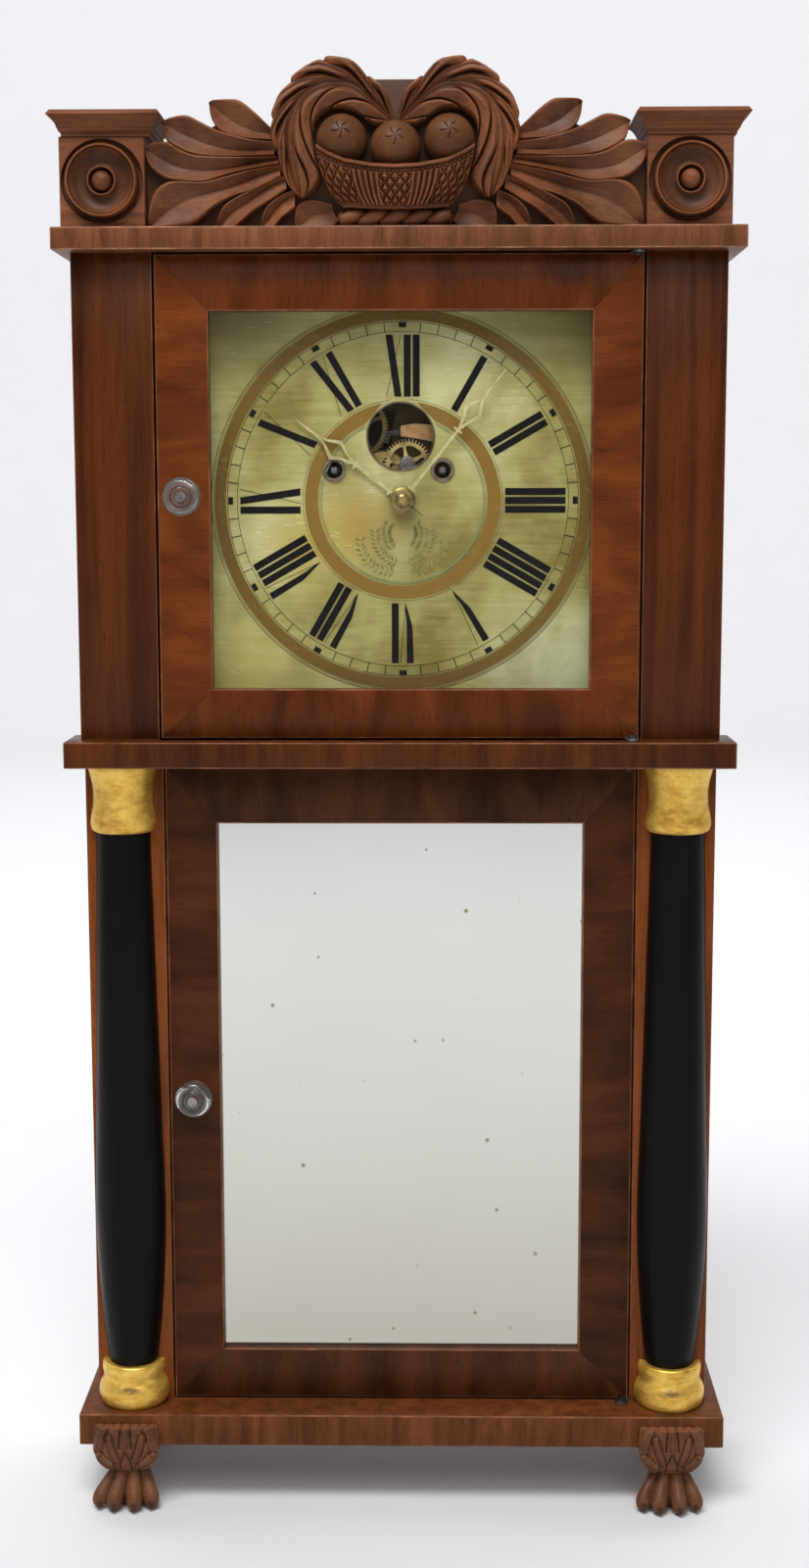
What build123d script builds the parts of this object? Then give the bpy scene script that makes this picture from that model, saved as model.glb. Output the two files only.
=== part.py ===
from build123d import *
import math
import os

os.makedirs("parts", exist_ok=True)

# Shelf clock with a carved crest, two doors, half columns and paw feet.
# Millimetres. X to the viewer's right, the front faces -Y, Z up, floor at Z = 0.

# Driving sizes of the case: widths, heights and thicknesses
base_half = 226.4
side_step = 9.9             # base board beyond the case side
slab_step = 10.5            # top slab beyond the case side
pilaster_wide = 53.5
post_wide = 53.9            # column boards beside the lower door
side_thick = 14.0
back_thick = 8.0
foot_high = 45.5
base_thick = 22.5
lower_high = 457.8
shelf_thick = 17.8
upper_high = 323.3
slab_thick = 14.6
case_deep = 130.0
paw_reach = 20.0            # toes in front of the base board
upper_set = 14.0            # upper front behind the base board's edge
lower_set = 28.0            # lower front behind the base board's edge
front_thick = 20.0          # doors, pilasters and column boards
edge_round = 1.2

# Half columns, with their radii against the flat board behind
column_in = 25.7            # axis to the case side
column_r = 24.5
capital_high = 46.3
capital_r = 23.5
ring_high = 31.0
ring_r = 25.0

# Corner blocks, caps and rosettes
block_half = 27.9
block_high = 58.0
block_deep = 50.0
block_set = 9.0             # behind the slab's front edge
block_over = 3.1            # beyond the case side
cap_over = 9.2
cap_shift = 0.8             # caps sit this far in from the blocks
cap_high = 15.9
rosette_r = 26.0
rosette_deep = 8.5
rosette_rise = 30.5

# Crest
crest_x = -1.8
crest_gap = 0.5             # crest to the nearer corner block
fan_gap = 0.8               # fan tip to the nearer block cap
crest_high = 108.1
crest_set = 31.0            # back of the crest board behind the slab's front edge
crest_board_thick = 12.0
fan_thick = 11.0
leaf_thick = 15.0
basket_deep = 17.0
fruit_r = 16.6

# Feet
paw_in = 33.9               # middle of the paw to the end of the base board
paw_half = 24.0
paw_long = 44.0
shank_long = 38.0
knee_half = 22.8
knee_lap = 16.0             # knee laps this far up the base board's front
knee_thick = 12.0
rear_foot = 40.0
rear_foot_in = 2.4
rear_foot_set = 3.0

# Doors
door_gap = 1.5              # round each door
stile = 35.5
upper_low_rail = 33.3
upper_high_rail = 36.8
lower_low_rail = 35.8
lower_high_rail = 40.0
rebate = 6.0
pane_gap = 0.3
glass_thick = 2.5
glass_setback = 8.0         # from the door's front to the glass
mirror_thick = 3.0
mirror_setback = 6.0
backing_thick = 4.0

# Pivot hinges on the right edge
pivot_in = 4.5              # pin to the door's edge
pivot_out = 4.2             # the pin stands this far in front of the door
pin_r = 2.0
pin_fit = 0.05
pin_head_r = 3.2
pin_head = 1.8
pin_play = 0.2
pin_in = 8.0
plate_thick = 1.6
plate_lift = 0.5
plate_half = 4.6
plate_run = 15.0

# Knobs and turn latches
upper_knob_in = 18.0        # spindle to the door's edge
upper_knob_rise = 128.9     # above the glass opening's lower edge
lower_knob_in = 17.9
lower_knob_rise = 187.9
knob_r = 12.8
knob_long = 22.0
spindle_r = 2.2
spindle_fit = 0.06
tongue_gap = 0.5
tongue_thick = 2.5
tongue_half = 4.0
tongue_long = 25.0

# Dial and hands
dial_x = 2.0
dial_rise = 1.0             # dial centre above the middle of the glass
dial_set = 26.0             # dial face behind the upper front
dial_thick = 6.0
centre_hole_r = 6.0
aperture_shift = -1.3
aperture_up = 43.1
aperture_r = 24.4
aperture_ring = 1.9
key_left = -46.5
key_right = 27.0
key_up = 20.5
key_hole_r = 7.4
grommet = 1.6
ring_fit = 0.3
lip = 1.1
minute_tip = 112.0
hour_tip = 90.0
minute_angle = 38.6
hour_angle = 307.0
hand_thick = 0.8

# Movement
plate_gap = 13.0            # dial back to the front plate
crutch_room = 11.0          # back plate to the pendulum's middle
plate_sheet = 2.0
plate_left = 80.0
plate_right = 66.0
plate_down = 49.5
plate_up = 87.5
seat_thick = 15.0
pivot_fit = 0.05
arbor_r = 1.4
thin_arbor_r = 1.2
key_arbor_r = 2.6
key_square = 3.5
drum_r = 14.0
drum_front_room = 8.0       # front plate to the drum
drum_back_room = 9.0        # drum to the back plate
drum_flange = 3.0
pillar_r = 3.5
pillar_in = 8.0

# Tooth counts
great_teeth = 72
centre_leaves = 12
centre_teeth = 54
third_leaves = 8
third_teeth = 66
escape_leaves = 6
escape_teeth = 42
strike_great_teeth = 66
pin_leaves = 10
pin_teeth = 60
fly_leaves = 8
cannon_teeth = 16
minute_teeth = 48
minute_leaves = 12
hour_teeth = 48
strike_module = 0.88
pin_module = 0.75
centre_module = 0.7
third_module = 0.5
cannon_module = 0.6
escape_tip = 17.0
escape_right = 3.0
escape_up = 25.0
verge_up = 22.0
pin_lean = 67.1             # degrees from level, strike arbor to pin arbor
fly_lean = 38.4             # degrees from level, pin arbor to fly arbor
wheel_thick = 1.4
great_thick = 2.4

# Pendulum, weights, hammer and bell
pendulum_gap = 14.0         # pendulum in front of the back board
peg_r = 3.0
peg_fit = 0.08
rod_r = 1.8
bob_rise = 262.0
bob_r = 36.0
bob_thick = 16.0
weight_in = 52.5            # weight axis to the case's inner side
weight_gap = 36.0           # weight axis behind the lower door
weight_r = 25.0
weight_high = 120.0
hammer_right = 28.0
hammer_up = 71.5
hammer_gap = 3.0
bell_left = 38.0
bell_r = 30.0
bell_gap = 2.0              # bell to the dial's back
bell_drop = 60.9

# Sizes that follow from the ones above
front_edge = paw_reach - (paw_reach + case_deep) / 2
case_back = front_edge + case_deep
upper_face = front_edge + upper_set
lower_face = front_edge + lower_set
upper_back = upper_face + front_thick
lower_back = lower_face + front_thick
back_front = case_back - back_thick
base_under = foot_high
base_top = base_under + base_thick
shelf_under = base_top + lower_high
shelf_top = shelf_under + shelf_thick
slab_under = shelf_top + upper_high
slab_top = slab_under + slab_thick
side_out = base_half - side_step
side_in = side_out - side_thick
slab_half = side_out + slab_step
pilaster_in = side_out - pilaster_wide
post_in = side_out - post_wide
column_x = side_out - column_in
capital_under = shelf_under - capital_high
ring_top = base_top + ring_high
block_x = side_out + block_over - block_half
block_top = slab_top + block_high
block_front = front_edge + block_set
block_back = block_front + block_deep
rosette_z = slab_top + rosette_rise
cap_x = block_x - cap_shift
block_in = block_x - block_half
cap_in = cap_x - block_half - cap_over
crest_half = block_in - abs(crest_x) - crest_gap
fan_tip = cap_in - abs(crest_x) - fan_gap
crest_back = front_edge + crest_set
crest_front = crest_back - crest_board_thick
paw_x = base_half - paw_in
paw_front = front_edge - paw_reach
knee_top = base_under + knee_lap
door_half = pilaster_in - door_gap
open_half = door_half - stile
upper_door_low = shelf_top + door_gap
upper_door_high = slab_under - door_gap
lower_door_low = base_top + door_gap
lower_door_high = shelf_under - door_gap
upper_open_low = upper_door_low + upper_low_rail
upper_open_high = upper_door_high - upper_high_rail
lower_open_low = lower_door_low + lower_low_rail
lower_open_high = lower_door_high - lower_high_rail
glass_face = upper_face + glass_setback
mirror_face = lower_face + mirror_setback
pivot_x = door_half - pivot_in
upper_pivot_y = upper_face - pivot_out
lower_pivot_y = lower_face - pivot_out
upper_knob_x = upper_knob_in - door_half
upper_knob_z = upper_open_low + upper_knob_rise
lower_knob_x = lower_knob_in - door_half
lower_knob_z = lower_open_low + lower_knob_rise
dial_z = (upper_open_low + upper_open_high) / 2 + dial_rise
dial_face = upper_face + dial_set
dial_back = dial_face + dial_thick
front_plate_y = dial_back + plate_gap
train_front = front_plate_y + plate_sheet
plate_low = dial_z - plate_down
plate_high = dial_z + plate_up
pendulum_y = back_front - pendulum_gap
back_plate_end = pendulum_y - crutch_room
back_plate_y = back_plate_end - plate_sheet
bob_z = base_top + bob_rise
weight_x = side_in - weight_in
weight_y = lower_back + weight_gap
bell_x = dial_x - bell_left
bell_y = dial_back + bell_gap + bell_r
bell_rim = slab_under - bell_drop
hammer_at = (dial_x + hammer_right, dial_z + hammer_up)


def front_plane(y, x=0.0, z=0.0):
    """A drawing plane that faces the viewer, with its x to the right and its y up."""
    return Plane(origin=(x, y, z), x_dir=(1, 0, 0), z_dir=(0, -1, 0))


def block(x0, x1, y0, y1, z0, z1, mode=Mode.ADD):
    """A plain board between two corners."""
    with Locations(((x0 + x1) / 2, (y0 + y1) / 2, (z0 + z1) / 2)):
        Box(abs(x1 - x0), abs(y1 - y0), abs(z1 - z0), mode=mode)


def shape(y0, y1, points, mode=Mode.ADD):
    """An outline seen from the front, cut from a board between y0 and y1."""
    with BuildSketch(front_plane(y0)) as face:
        with BuildLine():
            Polyline(*points, close=True)
        make_face()
    extrude(face.sketch, amount=-(y1 - y0), mode=mode)


def rod(x, z, r, y0, y1, mode=Mode.ADD):
    """A round bar that runs front to back."""
    with BuildSketch(front_plane(y0, x, z)) as face:
        Circle(r)
    extrude(face.sketch, amount=-(y1 - y0), mode=mode)


def post(x, y, r, z0, z1, mode=Mode.ADD):
    """A round bar that stands upright."""
    with BuildSketch(Plane.XY.offset(z0)) as face:
        with Locations((x, y)):
            Circle(r)
    extrude(face.sketch, amount=z1 - z0, mode=mode)


def turned_upright(x, y, profile):
    """A full turning about an upright axis: radius and height pairs."""
    with BuildSketch(front_plane(y, x)) as face:
        with BuildLine():
            Polyline(*profile, close=True)
        make_face()
    revolve(face.sketch, axis=Axis((x, y, 0), (0, 0, 1)), revolution_arc=360)


def turned_forward(x, z, profile, mode=Mode.ADD):
    """A full turning about a front-to-back axis: radius and y pairs."""
    with BuildSketch(Plane(origin=(x, 0, z), x_dir=(1, 0, 0), z_dir=(0, 0, 1))) as face:
        with BuildLine():
            Polyline(*profile, close=True)
        make_face()
    revolve(face.sketch, axis=Axis((x, 0, z), (0, 1, 0)), revolution_arc=360, mode=mode)


def aim(a, b):
    """The angle in degrees from one centre to another, seen from the front."""
    return math.degrees(math.atan2(b[1] - a[1], b[0] - a[0]))


def gear(centre, y0, y1, teeth, module, phase):
    """A toothed wheel with one tooth centred on the phase angle."""
    step = 360 / teeth
    tip = module * teeth / 2 + 0.8 * module
    root = module * teeth / 2 - 1.2 * module
    points = []
    for k in range(teeth):
        for part, radius in ((-0.23, root), (-0.08, tip), (0.08, tip), (0.23, root)):
            a = math.radians(phase + step * (k + part))
            points.append((radius * math.cos(a), radius * math.sin(a)))
    with BuildSketch(front_plane(y0, centre[0], centre[1])) as face:
        with BuildLine():
            Polyline(*points, close=True)
        make_face()
    extrude(face.sketch, amount=-(y1 - y0))


def crossings(centre, y0, y1, ring, hole, count=5):
    """Round openings between the spokes of a wheel."""
    with BuildSketch(front_plane(y0, centre[0], centre[1])) as face:
        with PolarLocations(ring, count):
            Circle(hole)
    extrude(face.sketch, amount=-(y1 - y0), mode=Mode.SUBTRACT)


def meet(a, ra, b, rb):
    """Where an arbor lies at distance ra from a and rb from b, to the left of a to b."""
    d = math.dist(a, b)
    along = (ra * ra - rb * rb + d * d) / (2 * d)
    off = math.sqrt(ra * ra - along * along)
    ux = (b[0] - a[0]) / d
    uz = (b[1] - a[1]) / d
    return (a[0] + along * ux - off * uz, a[1] + along * uz + off * ux)


# Arbor centres, seen from the front
centre_at = (dial_x, dial_z)
great_at = (dial_x + key_right, dial_z + key_up)
strike_at = (dial_x + key_left, dial_z + key_up)
escape_at = (dial_x + escape_right, dial_z + escape_up)
verge_at = (escape_at[0], escape_at[1] + verge_up)
great_module = 2 * math.dist(centre_at, great_at) / (great_teeth + centre_leaves)
third_far = centre_module * (centre_teeth + third_leaves) / 2
third_near = third_module * (third_teeth + escape_leaves) / 2
third_at = meet(centre_at, third_far, escape_at, third_near)
pin_far = strike_module * (strike_great_teeth + pin_leaves) / 2
pin_turn = math.radians(pin_lean)
pin_at = (strike_at[0] + pin_far * math.cos(pin_turn), strike_at[1] + pin_far * math.sin(pin_turn))
fly_far = pin_module * (pin_teeth + fly_leaves) / 2
fly_turn = math.radians(fly_lean)
fly_at = (pin_at[0] + fly_far * math.cos(fly_turn), pin_at[1] + fly_far * math.sin(fly_turn))
motion_far = cannon_module * (cannon_teeth + minute_teeth) / 2
hour_module = 2 * motion_far / (minute_leaves + hour_teeth)
minute_at = (dial_x, dial_z - motion_far)

# Base board
with BuildPart() as base_board:
    block(-base_half, base_half, front_edge, case_back, base_under, base_top)
    post(pivot_x, lower_pivot_y, pin_r + pin_fit, base_top - pin_in, base_top, Mode.SUBTRACT)
    fillet(base_board.edges().filter_by(Axis.X).group_by(Axis.Y)[0], radius=edge_round)
base_board.part.label = "base_board"
export_step(base_board.part, "parts/base_board.step")

# Side boards, stepped forward above the mid shelf
with BuildPart() as side_boards:
    for s in (-1, 1):
        block(s * side_in, s * side_out, lower_back, case_back, base_top, slab_under)
        block(s * side_in, s * side_out, upper_back, lower_back, shelf_top, slab_under)
side_boards.part.label = "side_boards"
export_step(side_boards.part, "parts/side_boards.step")

# Back board with the peg that carries the pendulum
with BuildPart() as back_board:
    block(-side_in, side_in, back_front, case_back, base_top, slab_under)
    rod(verge_at[0], verge_at[1], peg_r, pendulum_y - 4.5, back_front)
back_board.part.label = "back_board"
export_step(back_board.part, "parts/back_board.step")

# Mid shelf, a ledge in front of the upper case
with BuildPart() as mid_shelf:
    block(-base_half, base_half, front_edge, lower_back, shelf_under, shelf_top)
    hole = pin_r + pin_fit
    post(pivot_x, upper_pivot_y, hole, shelf_top - pin_in, shelf_top, Mode.SUBTRACT)
    post(pivot_x, lower_pivot_y, hole, shelf_under, shelf_under + pin_in, Mode.SUBTRACT)
    fillet(mid_shelf.edges().filter_by(Axis.X).group_by(Axis.Y)[0], radius=edge_round)
mid_shelf.part.label = "mid_shelf"
export_step(mid_shelf.part, "parts/mid_shelf.step")

# Top slab
with BuildPart() as top_slab:
    block(-slab_half, slab_half, front_edge, case_back, slab_under, slab_top)
    hole = pin_r + pin_fit
    post(pivot_x, upper_pivot_y, hole, slab_under, slab_under + pin_in, Mode.SUBTRACT)
    fillet(top_slab.edges().filter_by(Axis.X).group_by(Axis.Y)[0], radius=edge_round)
top_slab.part.label = "top_slab"
export_step(top_slab.part, "parts/top_slab.step")

# Upper pilasters beside the upper door
with BuildPart() as upper_pilasters:
    for s in (-1, 1):
        block(s * pilaster_in, s * side_out, upper_face, upper_back, shelf_top, slab_under)
upper_pilasters.part.label = "upper_pilasters"
export_step(upper_pilasters.part, "parts/upper_pilasters.step")

# Column boards beside the lower door
with BuildPart() as column_boards:
    for s in (-1, 1):
        block(s * post_in, s * side_out, lower_face, lower_back, base_top, shelf_under)
column_boards.part.label = "column_boards"
export_step(column_boards.part, "parts/column_boards.step")


def half_turning(x, low, high, r, curve):
    """A half-round turning on the column board: shares of the radius and of the height."""
    points = [(r * a, low + (high - low) * b) for a, b in curve]
    with BuildSketch(front_plane(lower_face, x)) as face:
        with BuildLine():
            Spline(*points)
            Polyline(points[-1], (0, high), (0, low), points[0])
        make_face()
    revolve(face.sketch, axis=Axis((x, lower_face, 0), (0, 0, -1)), revolution_arc=180)


# Ebonised half columns with a swelling low on the shaft
shaft_curve = ((0.69, 0), (0.88, 0.11), (1.0, 0.276), (0.94, 0.463), (0.75, 1))
with BuildPart() as columns:
    for s in (-1, 1):
        half_turning(s * column_x, ring_top, capital_under, column_r, shaft_curve)
columns.part.label = "columns"
export_step(columns.part, "parts/columns.step")

# Gilt capitals: a flaring bell over a rolled collar
capital_curve = ((0.86, 0), (0.955, 0.15), (0.885, 0.38), (0.865, 0.53), (0.9, 0.75), (1.0, 1))
with BuildPart() as capitals:
    for s in (-1, 1):
        half_turning(s * column_x, capital_under, shelf_under, capital_r, capital_curve)
capitals.part.label = "capitals"
export_step(capitals.part, "parts/capitals.step")

# Gilt column bases: a fat roll under a flared lip
ring_curve = ((0.88, 0), (1.0, 0.27), (0.93, 0.52), (0.865, 0.66), (0.895, 0.84), (0.86, 1))
with BuildPart() as column_bases:
    for s in (-1, 1):
        half_turning(s * column_x, base_top, ring_top, ring_r, ring_curve)
column_bases.part.label = "column_bases"
export_step(column_bases.part, "parts/column_bases.step")

# Corner blocks on the top slab
with BuildPart() as corner_blocks:
    for s in (-1, 1):
        x = s * block_x
        block(x - block_half, x + block_half, block_front, block_back, slab_top, block_top)
corner_blocks.part.label = "corner_blocks"
export_step(corner_blocks.part, "parts/corner_blocks.step")

# Moulded caps on the corner blocks
with BuildPart() as block_caps:
    middle_y = (block_front + block_back) / 2
    for s in (-1, 1):
        x = s * cap_x
        bands = (
            (0.16, 0.16, 0, 0.14), (0.16, 0.62, 0.14, 0.36), (0.62, 0.62, 0.36, 0.45),
            (1, 1, 0.45, 0.84), (1, 0.62, 0.84, 1),
        )
        for grow0, grow1, low, high in bands:
            for grow, level in ((grow0, low), (grow1, high)):
                with BuildSketch(Plane.XY.offset(block_top + cap_high * level)):
                    with Locations((x, middle_y)):
                        Rectangle(2 * (block_half + cap_over * grow), block_deep + 2 * cap_over * grow)
            loft()
block_caps.part.label = "block_caps"
export_step(block_caps.part, "parts/block_caps.step")

# Turned rosettes on the blocks: shares of the radius and of the depth
ring_steps = (
    (0, 0), (1, 0), (1, 0.53), (0.94, 0.75), (0.84, 0.75), (0.79, 0.54), (0.73, 0.52), (0.58, 0.33),
    (0.48, 0.4), (0.45, 0.73), (0.36, 0.78), (0.32, 0.47), (0.25, 0.54), (0.22, 0.85), (0.12, 1), (0, 1),
)
with BuildPart() as rosettes:
    rings = [(rosette_r * a, block_front - rosette_deep * b) for a, b in ring_steps]
    for s in (-1, 1):
        turned_forward(s * block_x, rosette_z, rings)
rosettes.part.label = "rosettes"
export_step(rosettes.part, "parts/rosettes.step")


def crest(points, side=1, high=crest_high):
    """A crest outline from shares of its half width and height, to one side of its middle."""
    return [(crest_x + side * crest_half * a, slab_top + high * b) for a, b in points]


board_half = (
    (0, 0), (0.966, 0), (0.916, 0.245), (0.854, 0.449), (0.693, 0.578), (0.520, 0.523), (0.433, 0.745),
    (0.322, 0.879), (0, 0.879),
)
# The fans nest against the blocks, so their heights are shares of the block's
fan_half = (
    (0.514, 0), (0.997, 0), (1, 0.457), (0.972, 0.560), (0.923, 0.612), (0.972, 0.750), (1, 0.957),
    (0.954, 1), (0.910, 0.948), (0.929, 1.060), (fan_tip / crest_half, 1.198), (0.848, 1.233),
    (0.749, 1.138), (0.765, 1.250), (0.755, 1.398), (0.675, 1.414), (0.594, 1.328), (0.514, 1.095),
)
leaf_half = (
    (0.005, 0.495), (0.007, 0.708), (0.034, 0.800), (0.093, 0.865), (0.115, 0.911), (0.155, 0.957),
    (0.223, 0.990), (0.279, 1), (0.350, 0.948), (0.415, 0.874), (0.480, 0.717), (0.502, 0.615),
    (0.506, 0.523), (0.474, 0.338), (0.418, 0.245), (0.387, 0.194), (0.310, 0.282), (0.223, 0.217),
    (0.005, 0.217),
)
basket_rim = (
    (-0.319, 0.472), (-0.204, 0.370), (0, 0.338), (0.204, 0.370), (0.319, 0.472),
)
basket_low = (
    (0.285, 0.282), (0.204, 0.116), (0, 0.097), (-0.204, 0.116), (-0.285, 0.282),
)
foot_half = ((-0.232, 0), (0.232, 0), (0.232, 0.106), (-0.232, 0.106))
fruit_places = ((-0.217, 0.513), (0, 0.476), (0.217, 0.513))

# Plain board behind the carving
with BuildPart() as crest_board:
    for s in (-1, 1):
        shape(crest_front, crest_back, crest(board_half, s))
crest_board.part.label = "crest_board"
export_step(crest_board.part, "parts/crest_board.step")

# Carved side fans
with BuildPart() as crest_fans:
    for s in (-1, 1):
        shape(crest_front - fan_thick, crest_front, crest(fan_half, s, block_high))
crest_fans.part.label = "crest_fans"
export_step(crest_fans.part, "parts/crest_fans.step")

# Basket with its flanking acanthus leaves and rope foot
with BuildPart() as crest_basket:
    for s in (-1, 1):
        shape(crest_front - leaf_thick, crest_front, crest(leaf_half, s))
    shape(crest_front - basket_deep, crest_front, crest(basket_rim + basket_low))
    shape(crest_front - basket_deep, crest_front, crest(foot_half))
crest_basket.part.label = "crest_basket"
export_step(crest_basket.part, "parts/crest_basket.step")

# Three carved fruits that rise from behind the basket's rim
with BuildPart() as crest_fruit:
    seat_y = crest_front - leaf_thick
    for x, z in crest(fruit_places):
        with Locations((x, seat_y, z)):
            Sphere(fruit_r)
    whole = ((-1, -1), (1, -1), (1, 2), (-1, 2))
    below = basket_rim + ((1, 0.472), (1, -1), (-1, -1), (-1, 0.472))
    shape(seat_y, seat_y + 2 * fruit_r, crest(whole), Mode.SUBTRACT)
    shape(seat_y - 2 * fruit_r, seat_y, crest(below), Mode.SUBTRACT)
crest_fruit.part.label = "crest_fruit"
export_step(crest_fruit.part, "parts/crest_fruit.step")

# Carved paw feet that lap the front of the base board
with BuildPart() as paw_feet:
    knee_curve = (
        (0.92, 1), (1, 0.65), (0.97, 0.28), (0.66, 0), (-0.66, 0), (-0.97, 0.28), (-1, 0.65), (-0.92, 1),
    )
    ankle = 0.64 * foot_high
    toe_r = paw_half / 3
    for s in (-1, 1):
        x = s * paw_x
        knee = [(x + knee_half * a, ankle + (knee_top - ankle) * b) for a, b in knee_curve]
        shape(front_edge - knee_thick, front_edge, knee)
        block(x - 0.83 * paw_half, x + 0.83 * paw_half, front_edge, front_edge + shank_long, ankle, base_under)
        with BuildSketch(Plane.XY.offset(toe_r)):
            with Locations((x, front_edge + 0.18 * paw_long)):
                Rectangle(1.75 * paw_half, paw_long)
        with BuildSketch(Plane.XY.offset(ankle + 2)):
            with Locations((x, front_edge + 0.26 * shank_long)):
                Rectangle(1.2 * paw_half, shank_long)
        loft()
        for toe in (-0.75, -0.25, 0.25, 0.75):
            reach = paw_front + toe_r + 8 * (abs(toe) - 0.25)
            middle = x + toe * (paw_half - 0.4)
            with Locations((middle, reach, toe_r)):
                Sphere(toe_r)
            heel = front_edge + 0.59 * paw_long
            block(middle - 0.75 * toe_r, middle + 0.75 * toe_r, reach, heel, 0, 1.5 * toe_r)
paw_feet.part.label = "paw_feet"
export_step(paw_feet.part, "parts/paw_feet.step")

# Plain rear feet
with BuildPart() as rear_feet:
    for s in (-1, 1):
        outer = base_half - rear_foot_in
        end = case_back - rear_foot_set
        block(s * (outer - rear_foot), s * outer, end - rear_foot, end, 0, base_under)
    fillet(rear_feet.edges().filter_by(Axis.Z), radius=3)
rear_feet.part.label = "rear_feet"
export_step(rear_feet.part, "parts/rear_feet.step")

# Headed pins on which the doors turn
with BuildPart() as hinge_pins:
    pin_places = (
        (pivot_x, upper_pivot_y, shelf_top, 1), (pivot_x, upper_pivot_y, slab_under, -1),
        (pivot_x, lower_pivot_y, base_top, 1), (pivot_x, lower_pivot_y, shelf_under, -1),
    )
    for x, y, z, way in pin_places:
        neck = z + way * (plate_lift + plate_thick + pin_play)
        post(x, y, pin_r, min(z - way * pin_in, neck), max(z - way * pin_in, neck))
        cap = neck + way * pin_head
        post(x, y, pin_head_r, min(neck, cap), max(neck, cap))
hinge_pins.part.label = "hinge_pins"
export_step(hinge_pins.part, "parts/hinge_pins.step")


def frame_piece(face, points, low, high, setback, pivot, knob):
    """One mitred member of a door frame."""
    back = face + front_thick
    with BuildPart() as piece:
        shape(face, back, points)
        wide = open_half + rebate
        block(-wide, wide, face + setback, back, low - rebate, high + rebate, Mode.SUBTRACT)
        for z, way in ((pivot[1], 1), (pivot[2], -1)):
            inner = z + way * (plate_lift + plate_thick)
            run = face + plate_run
            x0 = pivot[0] - plate_half
            block(x0, door_half + 1, face - 1, run, min(z, inner), max(z, inner), Mode.SUBTRACT)
        rod(knob[0], knob[1], spindle_r + spindle_fit, face - 1, back + 1, Mode.SUBTRACT)
    return piece.part


def door_frame(name, face, outer_low, outer_high, low, high, setback, pivot, knob):
    """Two stiles and two rails that meet in mitres, kept as four pieces."""
    a = ((-door_half, outer_low), (door_half, outer_low), (open_half, low), (-open_half, low))
    b = ((-door_half, outer_high), (-open_half, high), (open_half, high), (door_half, outer_high))
    c = ((-door_half, outer_low), (-open_half, low), (-open_half, high), (-door_half, outer_high))
    d = ((door_half, outer_low), (door_half, outer_high), (open_half, high), (open_half, low))
    pieces = [frame_piece(face, p, low, high, setback, pivot, knob) for p in (a, b, c, d)]
    return Compound(label=name, children=pieces)


def hinge_plate_pair(x, y, low, high, face):
    """Round-nosed plates let into the door's lower and upper edges."""
    for z, way in ((low, 1), (high, -1)):
        z0 = min(z + way * plate_lift, z + way * (plate_lift + plate_thick))
        with BuildSketch(Plane.XY.offset(z0)) as nose:
            with Locations((x, y)):
                Circle(plate_half)
            with Locations((x, (y + face + plate_run) / 2)):
                Rectangle(2 * plate_half, face + plate_run - y)
            with Locations((x, y)):
                Circle(pin_r + pin_fit, mode=Mode.SUBTRACT)
        extrude(nose.sketch, amount=plate_thick)


def glass_knob(x, z, face):
    """A turned glass knob with a hole for its spindle."""
    r = knob_r
    end = face - knob_long
    profile = (
        (spindle_r + spindle_fit, face), (r * 0.66, face), (r * 0.66, face - knob_long * 0.09),
        (r * 0.48, face - knob_long * 0.18), (r * 0.5, face - knob_long * 0.32),
        (r * 0.86, face - knob_long * 0.5), (r, face - knob_long * 0.66), (r * 0.95, face - knob_long * 0.82),
        (r * 0.72, face - knob_long * 0.945), (r * 0.4, end), (spindle_r + spindle_fit, end),
    )
    turned_forward(x, z, profile)


def turn_latch(x, z, face):
    """A spindle through the door with a tongue that hangs down when unlatched."""
    back = face + front_thick + tongue_gap
    rod(x, z, spindle_r, face - knob_long - 0.6, back + tongue_thick)
    rod(x, z, 3.4, face - knob_long - 1.6, face - knob_long)
    block(x - tongue_half, x + tongue_half, back, back + tongue_thick, z - tongue_long, z + tongue_half)


# Upper door
upper_pivot = (pivot_x, shelf_top, slab_under)
upper_knob_at = (upper_knob_x, upper_knob_z)
upper_door_frame = door_frame(
    "upper_door_frame", upper_face, upper_door_low, upper_door_high, upper_open_low, upper_open_high,
    glass_setback, upper_pivot, upper_knob_at,
)
export_step(upper_door_frame, "parts/upper_door_frame.step")

with BuildPart() as upper_door_glass:
    wide = open_half + rebate - pane_gap
    tall = rebate - pane_gap
    block(-wide, wide, glass_face, glass_face + glass_thick, upper_open_low - tall, upper_open_high + tall)
upper_door_glass.part.label = "upper_door_glass"
export_step(upper_door_glass.part, "parts/upper_door_glass.step")

with BuildPart() as upper_hinge_plates:
    hinge_plate_pair(pivot_x, upper_pivot_y, shelf_top, slab_under, upper_face)
upper_hinge_plates.part.label = "upper_hinge_plates"
export_step(upper_hinge_plates.part, "parts/upper_hinge_plates.step")

with BuildPart() as upper_knob:
    glass_knob(upper_knob_x, upper_knob_z, upper_face)
upper_knob.part.label = "upper_knob"
export_step(upper_knob.part, "parts/upper_knob.step")

with BuildPart() as upper_latch:
    turn_latch(upper_knob_x, upper_knob_z, upper_face)
upper_latch.part.label = "upper_latch"
export_step(upper_latch.part, "parts/upper_latch.step")

# Lower door
lower_pivot = (pivot_x, base_top, shelf_under)
lower_knob_at = (lower_knob_x, lower_knob_z)
lower_door_frame = door_frame(
    "lower_door_frame", lower_face, lower_door_low, lower_door_high, lower_open_low, lower_open_high,
    mirror_setback, lower_pivot, lower_knob_at,
)
export_step(lower_door_frame, "parts/lower_door_frame.step")

with BuildPart() as lower_mirror:
    wide = open_half + rebate - pane_gap
    tall = rebate - pane_gap
    block(-wide, wide, mirror_face, mirror_face + mirror_thick, lower_open_low - tall, lower_open_high + tall)
lower_mirror.part.label = "lower_mirror"
export_step(lower_mirror.part, "parts/lower_mirror.step")

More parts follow.
